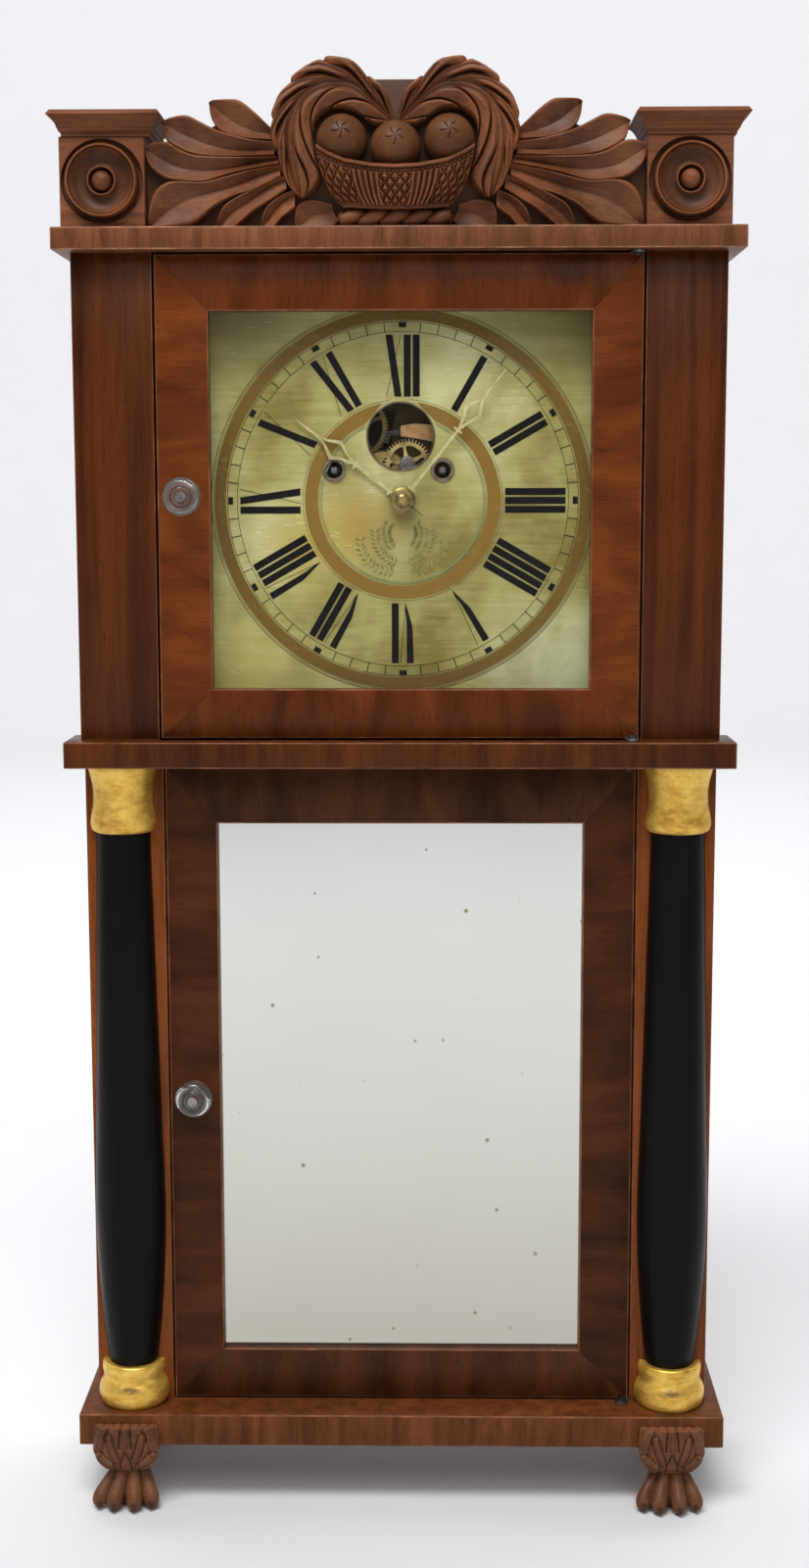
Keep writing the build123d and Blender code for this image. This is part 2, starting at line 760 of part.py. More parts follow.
with BuildPart() as mirror_backing:
    near = mirror_face + mirror_thick
    wide = open_half + rebate
    block(-wide, wide, near, near + backing_thick, lower_open_low - rebate, lower_open_high + rebate)
mirror_backing.part.label = "mirror_backing"
export_step(mirror_backing.part, "parts/mirror_backing.step")

with BuildPart() as lower_hinge_plates:
    hinge_plate_pair(pivot_x, lower_pivot_y, base_top, shelf_under, lower_face)
lower_hinge_plates.part.label = "lower_hinge_plates"
export_step(lower_hinge_plates.part, "parts/lower_hinge_plates.step")

with BuildPart() as lower_knob:
    glass_knob(lower_knob_x, lower_knob_z, lower_face)
lower_knob.part.label = "lower_knob"
export_step(lower_knob.part, "parts/lower_knob.step")

with BuildPart() as lower_latch:
    turn_latch(lower_knob_x, lower_knob_z, lower_face)
lower_latch.part.label = "lower_latch"
export_step(lower_latch.part, "parts/lower_latch.step")

# Painted dial panel, pierced for the centre, the keys and the view of the wheels
with BuildPart() as dial_panel:
    block(-side_in, side_in, dial_face, dial_back, shelf_top, slab_under)
    y0 = dial_face - 1
    y1 = dial_back + 1
    rod(dial_x, dial_z, centre_hole_r, y0, y1, Mode.SUBTRACT)
    rod(dial_x + aperture_shift, dial_z + aperture_up, aperture_r, y0, y1, Mode.SUBTRACT)
    rod(strike_at[0], strike_at[1], key_hole_r + grommet, y0, y1, Mode.SUBTRACT)
    rod(great_at[0], great_at[1], key_hole_r + grommet, y0, y1, Mode.SUBTRACT)
dial_panel.part.label = "dial_panel"
export_step(dial_panel.part, "parts/dial_panel.step")

# Metal rings round the openings of the dial, with a lip on its face
with BuildPart() as dial_rings:
    openings = (
        (dial_x + aperture_shift, dial_z + aperture_up, aperture_r, aperture_ring),
        (strike_at[0], strike_at[1], key_hole_r + grommet, grommet),
        (great_at[0], great_at[1], key_hole_r + grommet, grommet),
    )
    for x, z, r, wall in openings:
        rod(x, z, r - ring_fit, dial_face, dial_back)
        rod(x, z, r + lip, dial_face - lip, dial_face)
        rod(x, z, r - ring_fit - wall, dial_face - 2, dial_back + 1, Mode.SUBTRACT)
dial_rings.part.label = "dial_rings"
export_step(dial_rings.part, "parts/dial_rings.step")

# Levels of the hands and the motion work in front of the front plate
hour_level = dial_face - 3.2
minute_level = hour_level - 2.8
hour_wheel_y = front_plate_y - 10.6
minute_wheel_y = front_plate_y - 7.2
third_wheel_y = front_plate_y - 1.8
escape_wheel_y = front_plate_y - 4.0
cannon_in = arbor_r + pivot_fit
cannon_out = 2.2
pipe_in = cannon_out + pivot_fit
pipe_out = 3.1


def hand(angle, level, boss, bore, neck, swell_at, swell, end, tip):
    """An openwork hand: boss, thin stem, hollow-sided open diamond and needle."""
    turn = math.radians(angle)
    across = (math.cos(turn), 0, -math.sin(turn))
    low_side = (neck + swell_at) / 2
    high_side = (swell_at + end) / 2
    with BuildSketch(Plane(origin=(dial_x, level, dial_z), x_dir=across, z_dir=(0, -1, 0))) as blank:
        with BuildLine():
            stem = ((-1.1, 0), (1.1, 0), (0.9, neck), (-0.9, neck))
            Polyline(*stem, close=True)
        make_face()
        with BuildLine():
            outer = (
                (0, neck - 2), (1.8, neck + 1), (3.0, low_side), (swell, swell_at), (2.2, high_side + 1),
                (0.9, end), (0.35, tip), (-0.35, tip), (-0.9, end), (-2.2, high_side + 1),
                (-swell, swell_at), (-3.0, low_side), (-1.8, neck + 1),
            )
            Polyline(*outer, close=True)
        make_face()
        with BuildLine():
            inner = (
                (0, neck + 2.5), (1.7, low_side), (swell - 3.0, swell_at), (1.0, high_side),
                (0, end - 4), (-1.0, high_side), (-swell + 3.0, swell_at), (-1.7, low_side),
            )
            Polyline(*inner, close=True)
        make_face(mode=Mode.SUBTRACT)
        with Locations((0, neck - 2), (0, boss + 5)):
            Rectangle(6.4, 1.5)
        Circle(boss)
        Circle(bore, mode=Mode.SUBTRACT)
    extrude(blank.sketch, amount=-hand_thick)


with BuildPart() as hour_hand:
    neck = 0.467 * hour_tip
    swell_at = 0.628 * hour_tip
    end = 0.811 * hour_tip
    hand(hour_angle, hour_level, 6.0, pipe_out + pivot_fit, neck, swell_at, 7.8, end, hour_tip)
hour_hand.part.label = "hour_hand"
export_step(hour_hand.part, "parts/hour_hand.step")

with BuildPart() as minute_hand:
    neck = 0.554 * minute_tip
    swell_at = 0.679 * minute_tip
    end = 0.804 * minute_tip
    hand(minute_angle, minute_level, 5.0, cannon_out + pivot_fit, neck, swell_at, 7.4, end, minute_tip)
minute_hand.part.label = "minute_hand"
export_step(minute_hand.part, "parts/minute_hand.step")

with BuildPart() as hand_nut:
    bore = cannon_out + pivot_fit
    profile = (
        (bore, minute_level), (8.8, minute_level), (8.8, minute_level - 1.2), (7.2, minute_level - 2.4),
        (5.0, minute_level - 2.8), (4.2, minute_level - 4.4), (2.6, minute_level - 5.4),
        (bore, minute_level - 5.4),
    )
    turned_forward(dial_x, dial_z, profile)
hand_nut.part.label = "hand_nut"
export_step(hand_nut.part, "parts/hand_nut.step")

# Motion work behind the dial
with BuildPart() as cannon_pinion:
    rod(dial_x, dial_z, cannon_out, minute_level - 5.4, minute_wheel_y)
    to_minute = aim(centre_at, minute_at)
    gear(centre_at, minute_wheel_y, minute_wheel_y + 1.8, cannon_teeth, cannon_module, to_minute)
    rod(dial_x, dial_z, cannon_in, minute_level - 6, minute_wheel_y + 3, Mode.SUBTRACT)
cannon_pinion.part.label = "cannon_pinion"
export_step(cannon_pinion.part, "parts/cannon_pinion.step")

with BuildPart() as minute_wheel:
    to_centre = aim(minute_at, centre_at)
    phase = to_centre + 180 / minute_teeth
    gear(minute_at, minute_wheel_y + 0.2, minute_wheel_y + 1.6, minute_teeth, cannon_module, phase)
    gear(minute_at, hour_wheel_y - 0.2, minute_wheel_y + 0.2, minute_leaves, hour_module, to_centre)
    rod(minute_at[0], minute_at[1], arbor_r + pivot_fit, hour_wheel_y - 1, minute_wheel_y + 3, Mode.SUBTRACT)
    crossings(minute_at, minute_wheel_y + 0.2, minute_wheel_y + 1.6, 8.6, 2.6)
minute_wheel.part.label = "minute_wheel"
export_step(minute_wheel.part, "parts/minute_wheel.step")

with BuildPart() as hour_wheel:
    rod(dial_x, dial_z, pipe_out, hour_level - 0.4, hour_wheel_y)
    phase = aim(centre_at, minute_at) + 180 / hour_teeth
    gear(centre_at, hour_wheel_y, hour_wheel_y + 1.4, hour_teeth, hour_module, phase)
    rod(dial_x, dial_z, pipe_in, hour_level - 1, hour_wheel_y + 2, Mode.SUBTRACT)
    crossings(centre_at, hour_wheel_y, hour_wheel_y + 1.4, 8.6, 2.6)
hour_wheel.part.label = "hour_wheel"
export_step(hour_wheel.part, "parts/hour_wheel.step")

# Going train: the drum winds on its own arbor, the great wheel runs loose on it
great_y = train_front + 3.0
drum_y0 = train_front + drum_front_room
drum_y1 = back_plate_y - drum_back_room
second_y = back_plate_y - 6.5


def winding_drum(at):
    """A cord drum on a squared winding arbor that reaches the dial."""
    rod(at[0], at[1], key_arbor_r, front_plate_y - 1, back_plate_end)
    rod(at[0], at[1], drum_r, drum_y0, drum_y1)
    rod(at[0], at[1], drum_r + drum_flange, drum_y0 - 1.5, drum_y0)
    rod(at[0], at[1], drum_r + drum_flange, drum_y1, drum_y1 + 1.5)
    half = key_square / 2
    block(at[0] - half, at[0] + half, dial_face - 1.5, front_plate_y, at[1] - half, at[1] + half)


with BuildPart() as time_drum:
    winding_drum(great_at)
time_drum.part.label = "time_drum"
export_step(time_drum.part, "parts/time_drum.step")

with BuildPart() as strike_drum:
    winding_drum(strike_at)
strike_drum.part.label = "strike_drum"
export_step(strike_drum.part, "parts/strike_drum.step")

with BuildPart() as time_great_wheel:
    gear(great_at, great_y, great_y + great_thick, great_teeth, great_module, aim(great_at, centre_at))
    rod(great_at[0], great_at[1], key_arbor_r + pivot_fit, great_y - 1, great_y + 4, Mode.SUBTRACT)
    crossings(great_at, great_y, great_y + great_thick, 16.5, 6.2)
time_great_wheel.part.label = "time_great_wheel"
export_step(time_great_wheel.part, "parts/time_great_wheel.step")

with BuildPart() as strike_great_wheel:
    gear(strike_at, great_y, great_y + great_thick, strike_great_teeth, strike_module, aim(strike_at, pin_at))
    rod(strike_at[0], strike_at[1], key_arbor_r + pivot_fit, great_y - 1, great_y + 4, Mode.SUBTRACT)
    crossings(strike_at, great_y, great_y + great_thick, 16.5, 6.2)
strike_great_wheel.part.label = "strike_great_wheel"
export_step(strike_great_wheel.part, "parts/strike_great_wheel.step")

with BuildPart() as centre_wheel:
    rod(dial_x, dial_z, arbor_r, minute_level - 5.8, back_plate_end)
    leaf_phase = aim(centre_at, great_at) + 180 / centre_leaves
    gear(centre_at, great_y - 0.8, great_y + 3.2, centre_leaves, great_module, leaf_phase)
    gear(centre_at, second_y, second_y + 1.5, centre_teeth, centre_module, aim(centre_at, third_at))
    crossings(centre_at, second_y, second_y + 1.5, 10.4, 4.2)
centre_wheel.part.label = "centre_wheel"
export_step(centre_wheel.part, "parts/centre_wheel.step")

with BuildPart() as third_wheel:
    rod(third_at[0], third_at[1], thin_arbor_r, third_wheel_y - 0.6, back_plate_end)
    leaf_phase = aim(third_at, centre_at) + 180 / third_leaves
    gear(third_at, second_y - 1, second_y + 2.5, third_leaves, centre_module, leaf_phase)
    gear(third_at, third_wheel_y, third_wheel_y + 1.2, third_teeth, third_module, aim(third_at, escape_at))
    crossings(third_at, third_wheel_y, third_wheel_y + 1.2, 9.0, 3.8)
third_wheel.part.label = "third_wheel"
export_step(third_wheel.part, "parts/third_wheel.step")

with BuildPart() as escape_wheel:
    step = 360 / escape_teeth
    points = []
    for k in range(escape_teeth):
        root = escape_tip - 2.4
        for part, radius in ((-0.3, root), (-0.1, escape_tip), (0.1, escape_tip), (0.3, root)):
            a = math.radians(step * (k + part))
            points.append((escape_at[0] + radius * math.cos(a), escape_at[1] + radius * math.sin(a)))
    shape(escape_wheel_y, escape_wheel_y + 1.2, points)
    leaf_phase = aim(escape_at, third_at) + 180 / escape_leaves
    gear(escape_at, escape_wheel_y + 1.2, third_wheel_y + 1.4, escape_leaves, third_module, leaf_phase)
    rod(escape_at[0], escape_at[1], 3.4, escape_wheel_y - 1.0, escape_wheel_y)
    rod(escape_at[0], escape_at[1], 0.65, escape_wheel_y - 2, third_wheel_y + 3, Mode.SUBTRACT)
    crossings(escape_at, escape_wheel_y, escape_wheel_y + 1.2, 8.6, 3.6)
escape_wheel.part.label = "escape_wheel"
export_step(escape_wheel.part, "parts/escape_wheel.step")

# Verge with its pallets in front and its crutch behind the back plate
with BuildPart() as verge:
    rod(verge_at[0], verge_at[1], arbor_r, escape_wheel_y - 1.6, back_plate_y + 8)
    pallets = (
        (-15.4, -8.0), (-13.2, -8.6), (-11.5, -2.4), (0, -2.6), (11.5, -2.4), (13.2, -8.6),
        (15.4, -8.0), (13.0, 0.2), (0, 2.6), (-13.0, 0.2),
    )
    strip = [(verge_at[0] + a, verge_at[1] + b) for a, b in pallets]
    shape(escape_wheel_y, escape_wheel_y + 1.2, strip)
    crutch_y = back_plate_end + 2
    fork = verge_at[1] - 62
    block(verge_at[0] - 1, verge_at[0] + 1, crutch_y, crutch_y + 2, fork, verge_at[1])
    block(verge_at[0] - 5, verge_at[0] + 5, crutch_y, crutch_y + 2, fork - 2, fork + 2)
    for s in (-1, 1):
        block(verge_at[0] + s * 2.4, verge_at[0] + s * 4.4, crutch_y, pendulum_y + 4, fork - 1.5, fork + 1.5)
verge.part.label = "verge"
export_step(verge.part, "parts/verge.step")

# Strike train
with BuildPart() as pin_wheel:
    rod(pin_at[0], pin_at[1], thin_arbor_r, front_plate_y, back_plate_end)
    leaf_phase = aim(pin_at, strike_at) + 180 / pin_leaves
    gear(pin_at, great_y - 0.8, great_y + 3.2, pin_leaves, strike_module, leaf_phase)
    gear(pin_at, second_y, second_y + 1.5, pin_teeth, pin_module, aim(pin_at, fly_at))
    crossings(pin_at, second_y, second_y + 1.5, 12.4, 5.0)
pin_wheel.part.label = "pin_wheel"
export_step(pin_wheel.part, "parts/pin_wheel.step")

with BuildPart() as fly:
    rod(fly_at[0], fly_at[1], thin_arbor_r, front_plate_y, back_plate_end)
    leaf_phase = aim(fly_at, pin_at) + 180 / fly_leaves
    gear(fly_at, second_y - 1, second_y + 2.5, fly_leaves, pin_module, leaf_phase)
    block(fly_at[0] - 12, fly_at[0] + 12, train_front + 5, back_plate_y - 15, fly_at[1] - 0.4, fly_at[1] + 0.4)
fly.part.label = "fly"
export_step(fly.part, "parts/fly.step")

# Plates of the movement; the front one is cut away behind the dial's round opening
bearings = (
    (great_at, key_arbor_r), (strike_at, key_arbor_r), (centre_at, arbor_r), (third_at, thin_arbor_r),
    (pin_at, thin_arbor_r), (fly_at, thin_arbor_r), (verge_at, arbor_r), (hammer_at, arbor_r),
)
pillar_places = tuple(
    (x, z)
    for x in (dial_x - plate_left + pillar_in, dial_x + plate_right - pillar_in)
    for z in (plate_low + pillar_in, plate_high - pillar_in)
)

with BuildPart() as front_plate:
    block(dial_x - plate_left, dial_x + plate_right, front_plate_y, train_front, plate_low, plate_high)
    for at, r in bearings:
        rod(at[0], at[1], r + pivot_fit, front_plate_y - 1, train_front + 1, Mode.SUBTRACT)
    view = ((-31, 33.5), (-8, 33.5), (-8, 43.5), (-5, 61.5), (-31, 61.5))
    shape(front_plate_y - 1, train_front + 1, [(dial_x + a, dial_z + b) for a, b in view], Mode.SUBTRACT)
    rod(escape_at[0], escape_at[1], 0.6, escape_wheel_y - 1.6, front_plate_y)
    rod(minute_at[0], minute_at[1], arbor_r, hour_wheel_y - 1, front_plate_y)
front_plate.part.label = "front_plate"
export_step(front_plate.part, "parts/front_plate.step")

with BuildPart() as back_plate:
    block(dial_x - plate_left, dial_x + plate_right, back_plate_y, back_plate_end, plate_low, plate_high)
    for at, r in bearings:
        rod(at[0], at[1], r + pivot_fit, back_plate_y - 1, back_plate_end + 1, Mode.SUBTRACT)
back_plate.part.label = "back_plate"
export_step(back_plate.part, "parts/back_plate.step")

with BuildPart() as plate_pillars:
    for x, z in pillar_places:
        rod(x, z, pillar_r, train_front, back_plate_y)
plate_pillars.part.label = "plate_pillars"
export_step(plate_pillars.part, "parts/plate_pillars.step")

with BuildPart() as verge_cock:
    cock_y = escape_wheel_y - 3.2
    end = (verge_at[0] + 34, verge_at[1] - 4)
    strap = ((-4.5, -3.5), (-4.5, 3.5), (4, 5), (39, 3), (39, -11), (4, -4.5))
    shape(cock_y, cock_y + 1.4, [(verge_at[0] + a, verge_at[1] + b) for a, b in strap])
    block(end[0] - 4, end[0] + 4, cock_y + 1.4, front_plate_y, end[1] - 5, end[1] + 5)
    rod(verge_at[0], verge_at[1], arbor_r + pivot_fit, cock_y + 0.6, cock_y + 2, Mode.SUBTRACT)
verge_cock.part.label = "verge_cock"
export_step(verge_cock.part, "parts/verge_cock.step")

with BuildPart() as seat_board:
    block(-side_in, side_in, dial_back, back_plate_end + 1, plate_low - seat_thick, plate_low)
seat_board.part.label = "seat_board"
export_step(seat_board.part, "parts/seat_board.step")

# Hammer and bell
with BuildPart() as hammer:
    rod(hammer_at[0], hammer_at[1], arbor_r, front_plate_y, back_plate_end)
    block(hammer_at[0] - 1.2, hammer_at[0] + 1.2, bell_y - 1.2, bell_y + 1.2, hammer_at[1], bell_rim + 12)
    block(bell_x + bell_r + hammer_gap, hammer_at[0] + 3, bell_y - 4, bell_y + 4, bell_rim + 2, bell_rim + 12)
hammer.part.label = "hammer"
export_step(hammer.part, "parts/hammer.step")

with BuildPart() as bell:
    r = bell_r
    z = bell_rim
    cup = (
        (r, z), (r - 1.5, z + 5), (r - 4, z + 16), (r - 10, z + 25), (r - 20, z + 29), (4, z + 30),
        (4, slab_under), (0, slab_under), (0, z + 26), (r - 21, z + 26), (r - 12, z + 22.5),
        (r - 7, z + 14), (r - 4, z),
    )
    turned_upright(bell_x, bell_y, cup)
bell.part.label = "bell"
export_step(bell.part, "parts/bell.step")

# Pendulum behind the movement
with BuildPart() as pendulum_rod:
    eye = peg_r + peg_fit
    rod(verge_at[0], verge_at[1], 2 * peg_r, pendulum_y - 2, pendulum_y + 2)
    rod(verge_at[0], verge_at[1], eye, pendulum_y - 3, pendulum_y + 3, Mode.SUBTRACT)
    post(verge_at[0], pendulum_y, rod_r, bob_z + bob_r, verge_at[1] - 1.5 * peg_r)
pendulum_rod.part.label = "pendulum_rod"
export_step(pendulum_rod.part, "parts/pendulum_rod.step")

with BuildPart() as pendulum_bob:
    bulge = ((0, -0.5), (0.6, -0.38), (1, -0.05), (1, 0.05), (0.6, 0.38), (0, 0.5))
    turned_forward(verge_at[0], bob_z, [(bob_r * a, pendulum_y + bob_thick * b) for a, b in bulge])
    tab = bob_z + bob_r
    block(verge_at[0] - 3, verge_at[0] + 3, pendulum_y - 2.5, pendulum_y + 2.5, tab - 4, tab)
pendulum_bob.part.label = "pendulum_bob"
export_step(pendulum_bob.part, "parts/pendulum_bob.step")


def weight(x):
    """An iron weight with an eye on top, standing on the case floor."""
    top = base_top + weight_high
    post(x, weight_y, weight_r, base_top, top)
    post(x, weight_y, 4, top, top + 6)
    rod(x, top + 10, 7, weight_y - 2, weight_y + 2)
    rod(x, top + 10, 3.5, weight_y - 3, weight_y + 3, Mode.SUBTRACT)


with BuildPart() as time_weight:
    weight(weight_x)
time_weight.part.label = "time_weight"
export_step(time_weight.part, "parts/time_weight.step")

with BuildPart() as strike_weight:
    weight(-weight_x)
strike_weight.part.label = "strike_weight"
export_step(strike_weight.part, "parts/strike_weight.step")
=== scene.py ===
import bmesh
import bpy
import math
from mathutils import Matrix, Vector


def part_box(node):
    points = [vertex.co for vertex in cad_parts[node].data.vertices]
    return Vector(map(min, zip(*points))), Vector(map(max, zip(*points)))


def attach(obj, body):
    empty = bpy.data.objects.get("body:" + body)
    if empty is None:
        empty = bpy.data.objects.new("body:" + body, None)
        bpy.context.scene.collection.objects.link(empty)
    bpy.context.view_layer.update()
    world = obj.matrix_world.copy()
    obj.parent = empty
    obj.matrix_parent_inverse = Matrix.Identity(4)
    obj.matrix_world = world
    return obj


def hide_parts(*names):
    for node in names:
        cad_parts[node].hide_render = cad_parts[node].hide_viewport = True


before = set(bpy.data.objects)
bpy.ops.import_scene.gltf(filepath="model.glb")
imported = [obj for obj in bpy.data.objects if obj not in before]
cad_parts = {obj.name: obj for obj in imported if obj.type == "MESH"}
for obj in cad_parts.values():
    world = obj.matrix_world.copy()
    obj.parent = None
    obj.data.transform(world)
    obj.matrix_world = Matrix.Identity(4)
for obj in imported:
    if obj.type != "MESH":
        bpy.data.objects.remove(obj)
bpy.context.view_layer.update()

# Looks of a carved shelf clock with two doors, half columns and paw feet.
# Shapes are worked out in millimetres and written to the meshes in metres.
MM = 0.001
SIDES = (-1, 1)


def place(part):
    """Lowest and highest corner of a CAD node, in millimetres."""
    low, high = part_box(part)
    return low / MM, high / MM


def middle(part):
    """Middle of a CAD node, sideways and in height."""
    low, high = place(part)
    return (low.x + high.x) / 2, (low.z + high.z) / 2


# Curves and numbers

def mixed(a, b, t):
    """The value a share t of the way from a to b."""
    return a + (b - a) * t


def soft(x, start, length):
    """A soft rise from 0 to 1 that begins at start; with a negative length it runs backwards."""
    t = min(max((x - start) / length, 0.0), 1.0)
    return t * t * (3 - 2 * t)


def bell(x, wide):
    """A hump of height 1 round 0."""
    return math.exp(-((x / wide) ** 2))


def turns(count):
    """The angles of one full turn in equal steps."""
    return [2 * math.pi * k / count for k in range(count)]


def rectangle(left, under, right, over):
    """Corners of a rectangle, from its lower left one round to its upper left one."""
    return (left, under), (right, under), (right, over), (left, over)


def graph(stops, x):
    """The height at x of a line through the given points."""
    for (x0, y0), (x1, y1) in zip(stops, stops[1:]):
        if x <= x1:
            return mixed(y0, y1, max(x - x0, 0.0) / (x1 - x0))
    return stops[-1][1]


def curve(points, count):
    """Points spaced evenly along a soft curve through the given ones."""
    knots = [Vector(p) for p in points]
    knots = [2 * knots[0] - knots[1], *knots, 2 * knots[-1] - knots[-2]]
    fine = [knots[1]]
    parts = 12
    for a, b, c, d in zip(knots, knots[1:], knots[2:], knots[3:]):
        for step in range(1, parts + 1):
            t = step / parts
            bend = (c - a) * t + (2 * a - 5 * b + 4 * c - d) * t * t + (3 * b - a - 3 * c + d) * t ** 3
            fine.append(b + bend / 2)
    marks = [0.0]
    for p, q in zip(fine, fine[1:]):
        marks.append(marks[-1] + (q - p).length)
    found = []
    k = 0
    for step in range(count + 1):
        want = marks[-1] * step / count
        while k < len(marks) - 2 and marks[k + 1] < want:
            k += 1
        gap = marks[k + 1] - marks[k]
        found.append(fine[k].lerp(fine[k + 1], (want - marks[k]) / gap if gap else 0.0))
    return found


# Meshes and pieces

def shown(name, data):
    """A new object in the scene."""
    made = bpy.data.objects.new(name, data)
    bpy.context.scene.collection.objects.link(made)
    return made


def piece(name, mesh, part=None, body="case", slot="mahogany"):
    """A mesh as a piece that rides on a body and may stand for a CAD node."""
    made = shown(name, mesh)
    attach(made, body)
    if part:
        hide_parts(part)


def eased(bm, edges, ease):
    """Rounds edges of a bmesh; the rounding has finish 1."""
    bmesh.ops.bevel(bm, geom=edges, offset=ease, segments=2, profile=0.5, affect="EDGES", material=1)


class Shape:
    """Points, faces and the finish number of each face."""

    def __init__(self):
        self.points = []
        self.faces = []
        self.finish = []

    def add(self, points, faces, finishes):
        """One shell, in millimetres: points that coincide become one."""
        known = {}
        index = []
        for p in points:
            key = tuple(round(c, 4) for c in p)
            if key not in known:
                known[key] = len(self.points)
                self.points.append(Vector(p) * MM)
            index.append(known[key])
        for face, number in zip(faces, finishes):
            corners = list(dict.fromkeys(index[k] for k in face))
            if len(corners) > 2:
                self.faces.append(corners)
                self.finish.append(number)

    def tube(self, rings, finish=0, loop=False):
        """A closed skin through rings of equally many points; the finish may differ round the ring."""
        count = len(rings[0])
        strips = [finish] * count if isinstance(finish, int) else list(finish)
        steps = len(rings) if loop else len(rings) - 1
        faces = []
        for a in range(steps):
            b = (a + 1) % len(rings)
            for k in range(count):
                n = (k + 1) % count
                faces.append((a * count + k, a * count + n, b * count + n, b * count + k))
        finishes = strips * steps
        if not loop:
            end = steps * count
            faces += [range(count), range(end, end + count)]
            finishes += [strips[-1], strips[-1]]
        self.add([p for ring in rings for p in ring], faces, finishes)

    def slab(self, grid):
        """A closed sheet: rows of places, each with its front and its back point."""
        cols = len(grid[0])
        half = len(grid) * cols
        faces = []
        for row in range(0, half - cols, cols):
            for a in range(row, row + cols - 1):
                quad = (a, a + 1, a + cols + 1, a + cols)
                faces += [quad, [half + k for k in quad]]
        rim = [*range(cols), *range(2 * cols - 1, half, cols)]
        rim += [*range(half - 2, half - cols - 1, -1), *range(half - 2 * cols, 0, -cols)]
        for a, b in zip(rim, rim[1:] + rim[:1]):
            faces.append((a, b, half + b, half + a))
        points = [pair[side] for side in range(2) for row in grid for pair in row]
        self.add(points, faces, [0] * len(faces))

    def take(self, bm):
        """The shell of a bmesh in millimetres."""
        bm.verts.index_update()
        faces = [[v.index for v in f.verts] for f in bm.faces]
        self.add([v.co for v in bm.verts], faces, [f.material_index for f in bm.faces])
        bm.free()

    def board(self, low, high, ease):
        """A board between two corners, with eased edges."""
        bm = bmesh.new()
        bmesh.ops.create_cube(bm, size=1)
        for v in bm.verts:
            v.co = [mixed(low[k], high[k], v.co[k] + 0.5) for k in range(3)]
        eased(bm, bm.edges[:], ease)
        self.take(bm)

    def prism(self, outline, near, far, finish=0, ease=0.0):
        """An outline seen from the front, cut from near to far; its front edge may be eased."""
        bm = bmesh.new()
        front = [bm.verts.new((x, near, z)) for x, z in outline]
        rear = [bm.verts.new((x, far, z)) for x, z in outline]
        face = bm.faces.new(front)
        bm.faces.new(rear[::-1])
        for k in range(len(outline)):
            bm.faces.new((front[k], front[k - 1], rear[k - 1], rear[k]))
        for f in bm.faces:
            f.material_index = finish
        bmesh.ops.recalc_face_normals(bm, faces=bm.faces)
        if ease:
            eased(bm, list(face.edges), ease)
        self.take(bm)

    def turned(self, x, z, profile, steps, finish=0):
        """A solid turning about a front-to-back axis: radius and y pairs."""
        rings = [[(x + r * math.cos(a), y, z + r * math.sin(a)) for a in turns(steps)] for r, y in profile]
        self.tube(rings, finish)

    def hoop(self, x, z, section, steps, finish=0):
        """A closed section led round a front-to-back axis: radius and y pairs."""
        rings = [[(x + r * math.cos(a), y, z + r * math.sin(a)) for r, y in section] for a in turns(steps)]
        self.tube(rings, finish, True)

    def build(self, name, *finishes, angle=32):
        """The finished mesh, smooth except at its sharp edges."""
        mesh = bpy.data.meshes.new(name)
        mesh.from_pydata(self.points, [], self.faces)
        for finish in finishes:
            mesh.materials.append(finish)
        mesh.polygons.foreach_set("material_index", self.finish)
        bm = bmesh.new()
        bm.from_mesh(mesh)
        bmesh.ops.recalc_face_normals(bm, faces=bm.faces)
        bm.to_mesh(mesh)
        bm.free()
        mesh.shade_smooth()
        mesh.set_sharp_from_angle(angle=math.radians(angle))
        return mesh

    def piece(self, name, part, *finishes, angle=32, **ride):
        """The shape as a piece of the scene."""
        piece(name, self.build(name, *finishes, angle=angle), part, **ride)


def fused(name, shape, finish, voxel, rounds):
    """The shells of a shape melted into one carved skin."""
    raw = shown(name + "_raw", shape.build(name + "_raw"))
    melt = raw.modifiers.new("melt", "REMESH")
    melt.mode = "VOXEL"
    melt.voxel_size = voxel * MM
    smooth = raw.modifiers.new("smooth", "SMOOTH")
    smooth.factor = 0.5
    smooth.iterations = rounds
    view = bpy.context.evaluated_depsgraph_get()
    mesh = bpy.data.meshes.new_from_object(raw.evaluated_get(view))
    bpy.data.objects.remove(raw)
    mesh.name = name
    mesh.materials.clear()
    mesh.materials.append(finish)
    mesh.shade_smooth()
    return mesh


# Material nodes

NOISE_LOW = 0.3
NOISE_HIGH = 0.7


def feed(node, inputs):
    """Sets a node's inputs, which are constants or the values of other nodes."""
    for key, value in inputs.items():
        if isinstance(value, Value):
            node.id_data.links.new(value.socket, node.inputs[key])
        else:
            node.inputs[key].default_value = value


def output(tree, kind, inputs, out=0, **settings):
    """One output of a new node."""
    node = tree.nodes.new(kind)
    for key, value in settings.items():
        setattr(node, key, value)
    feed(node, inputs)
    return Value(node.outputs[out])


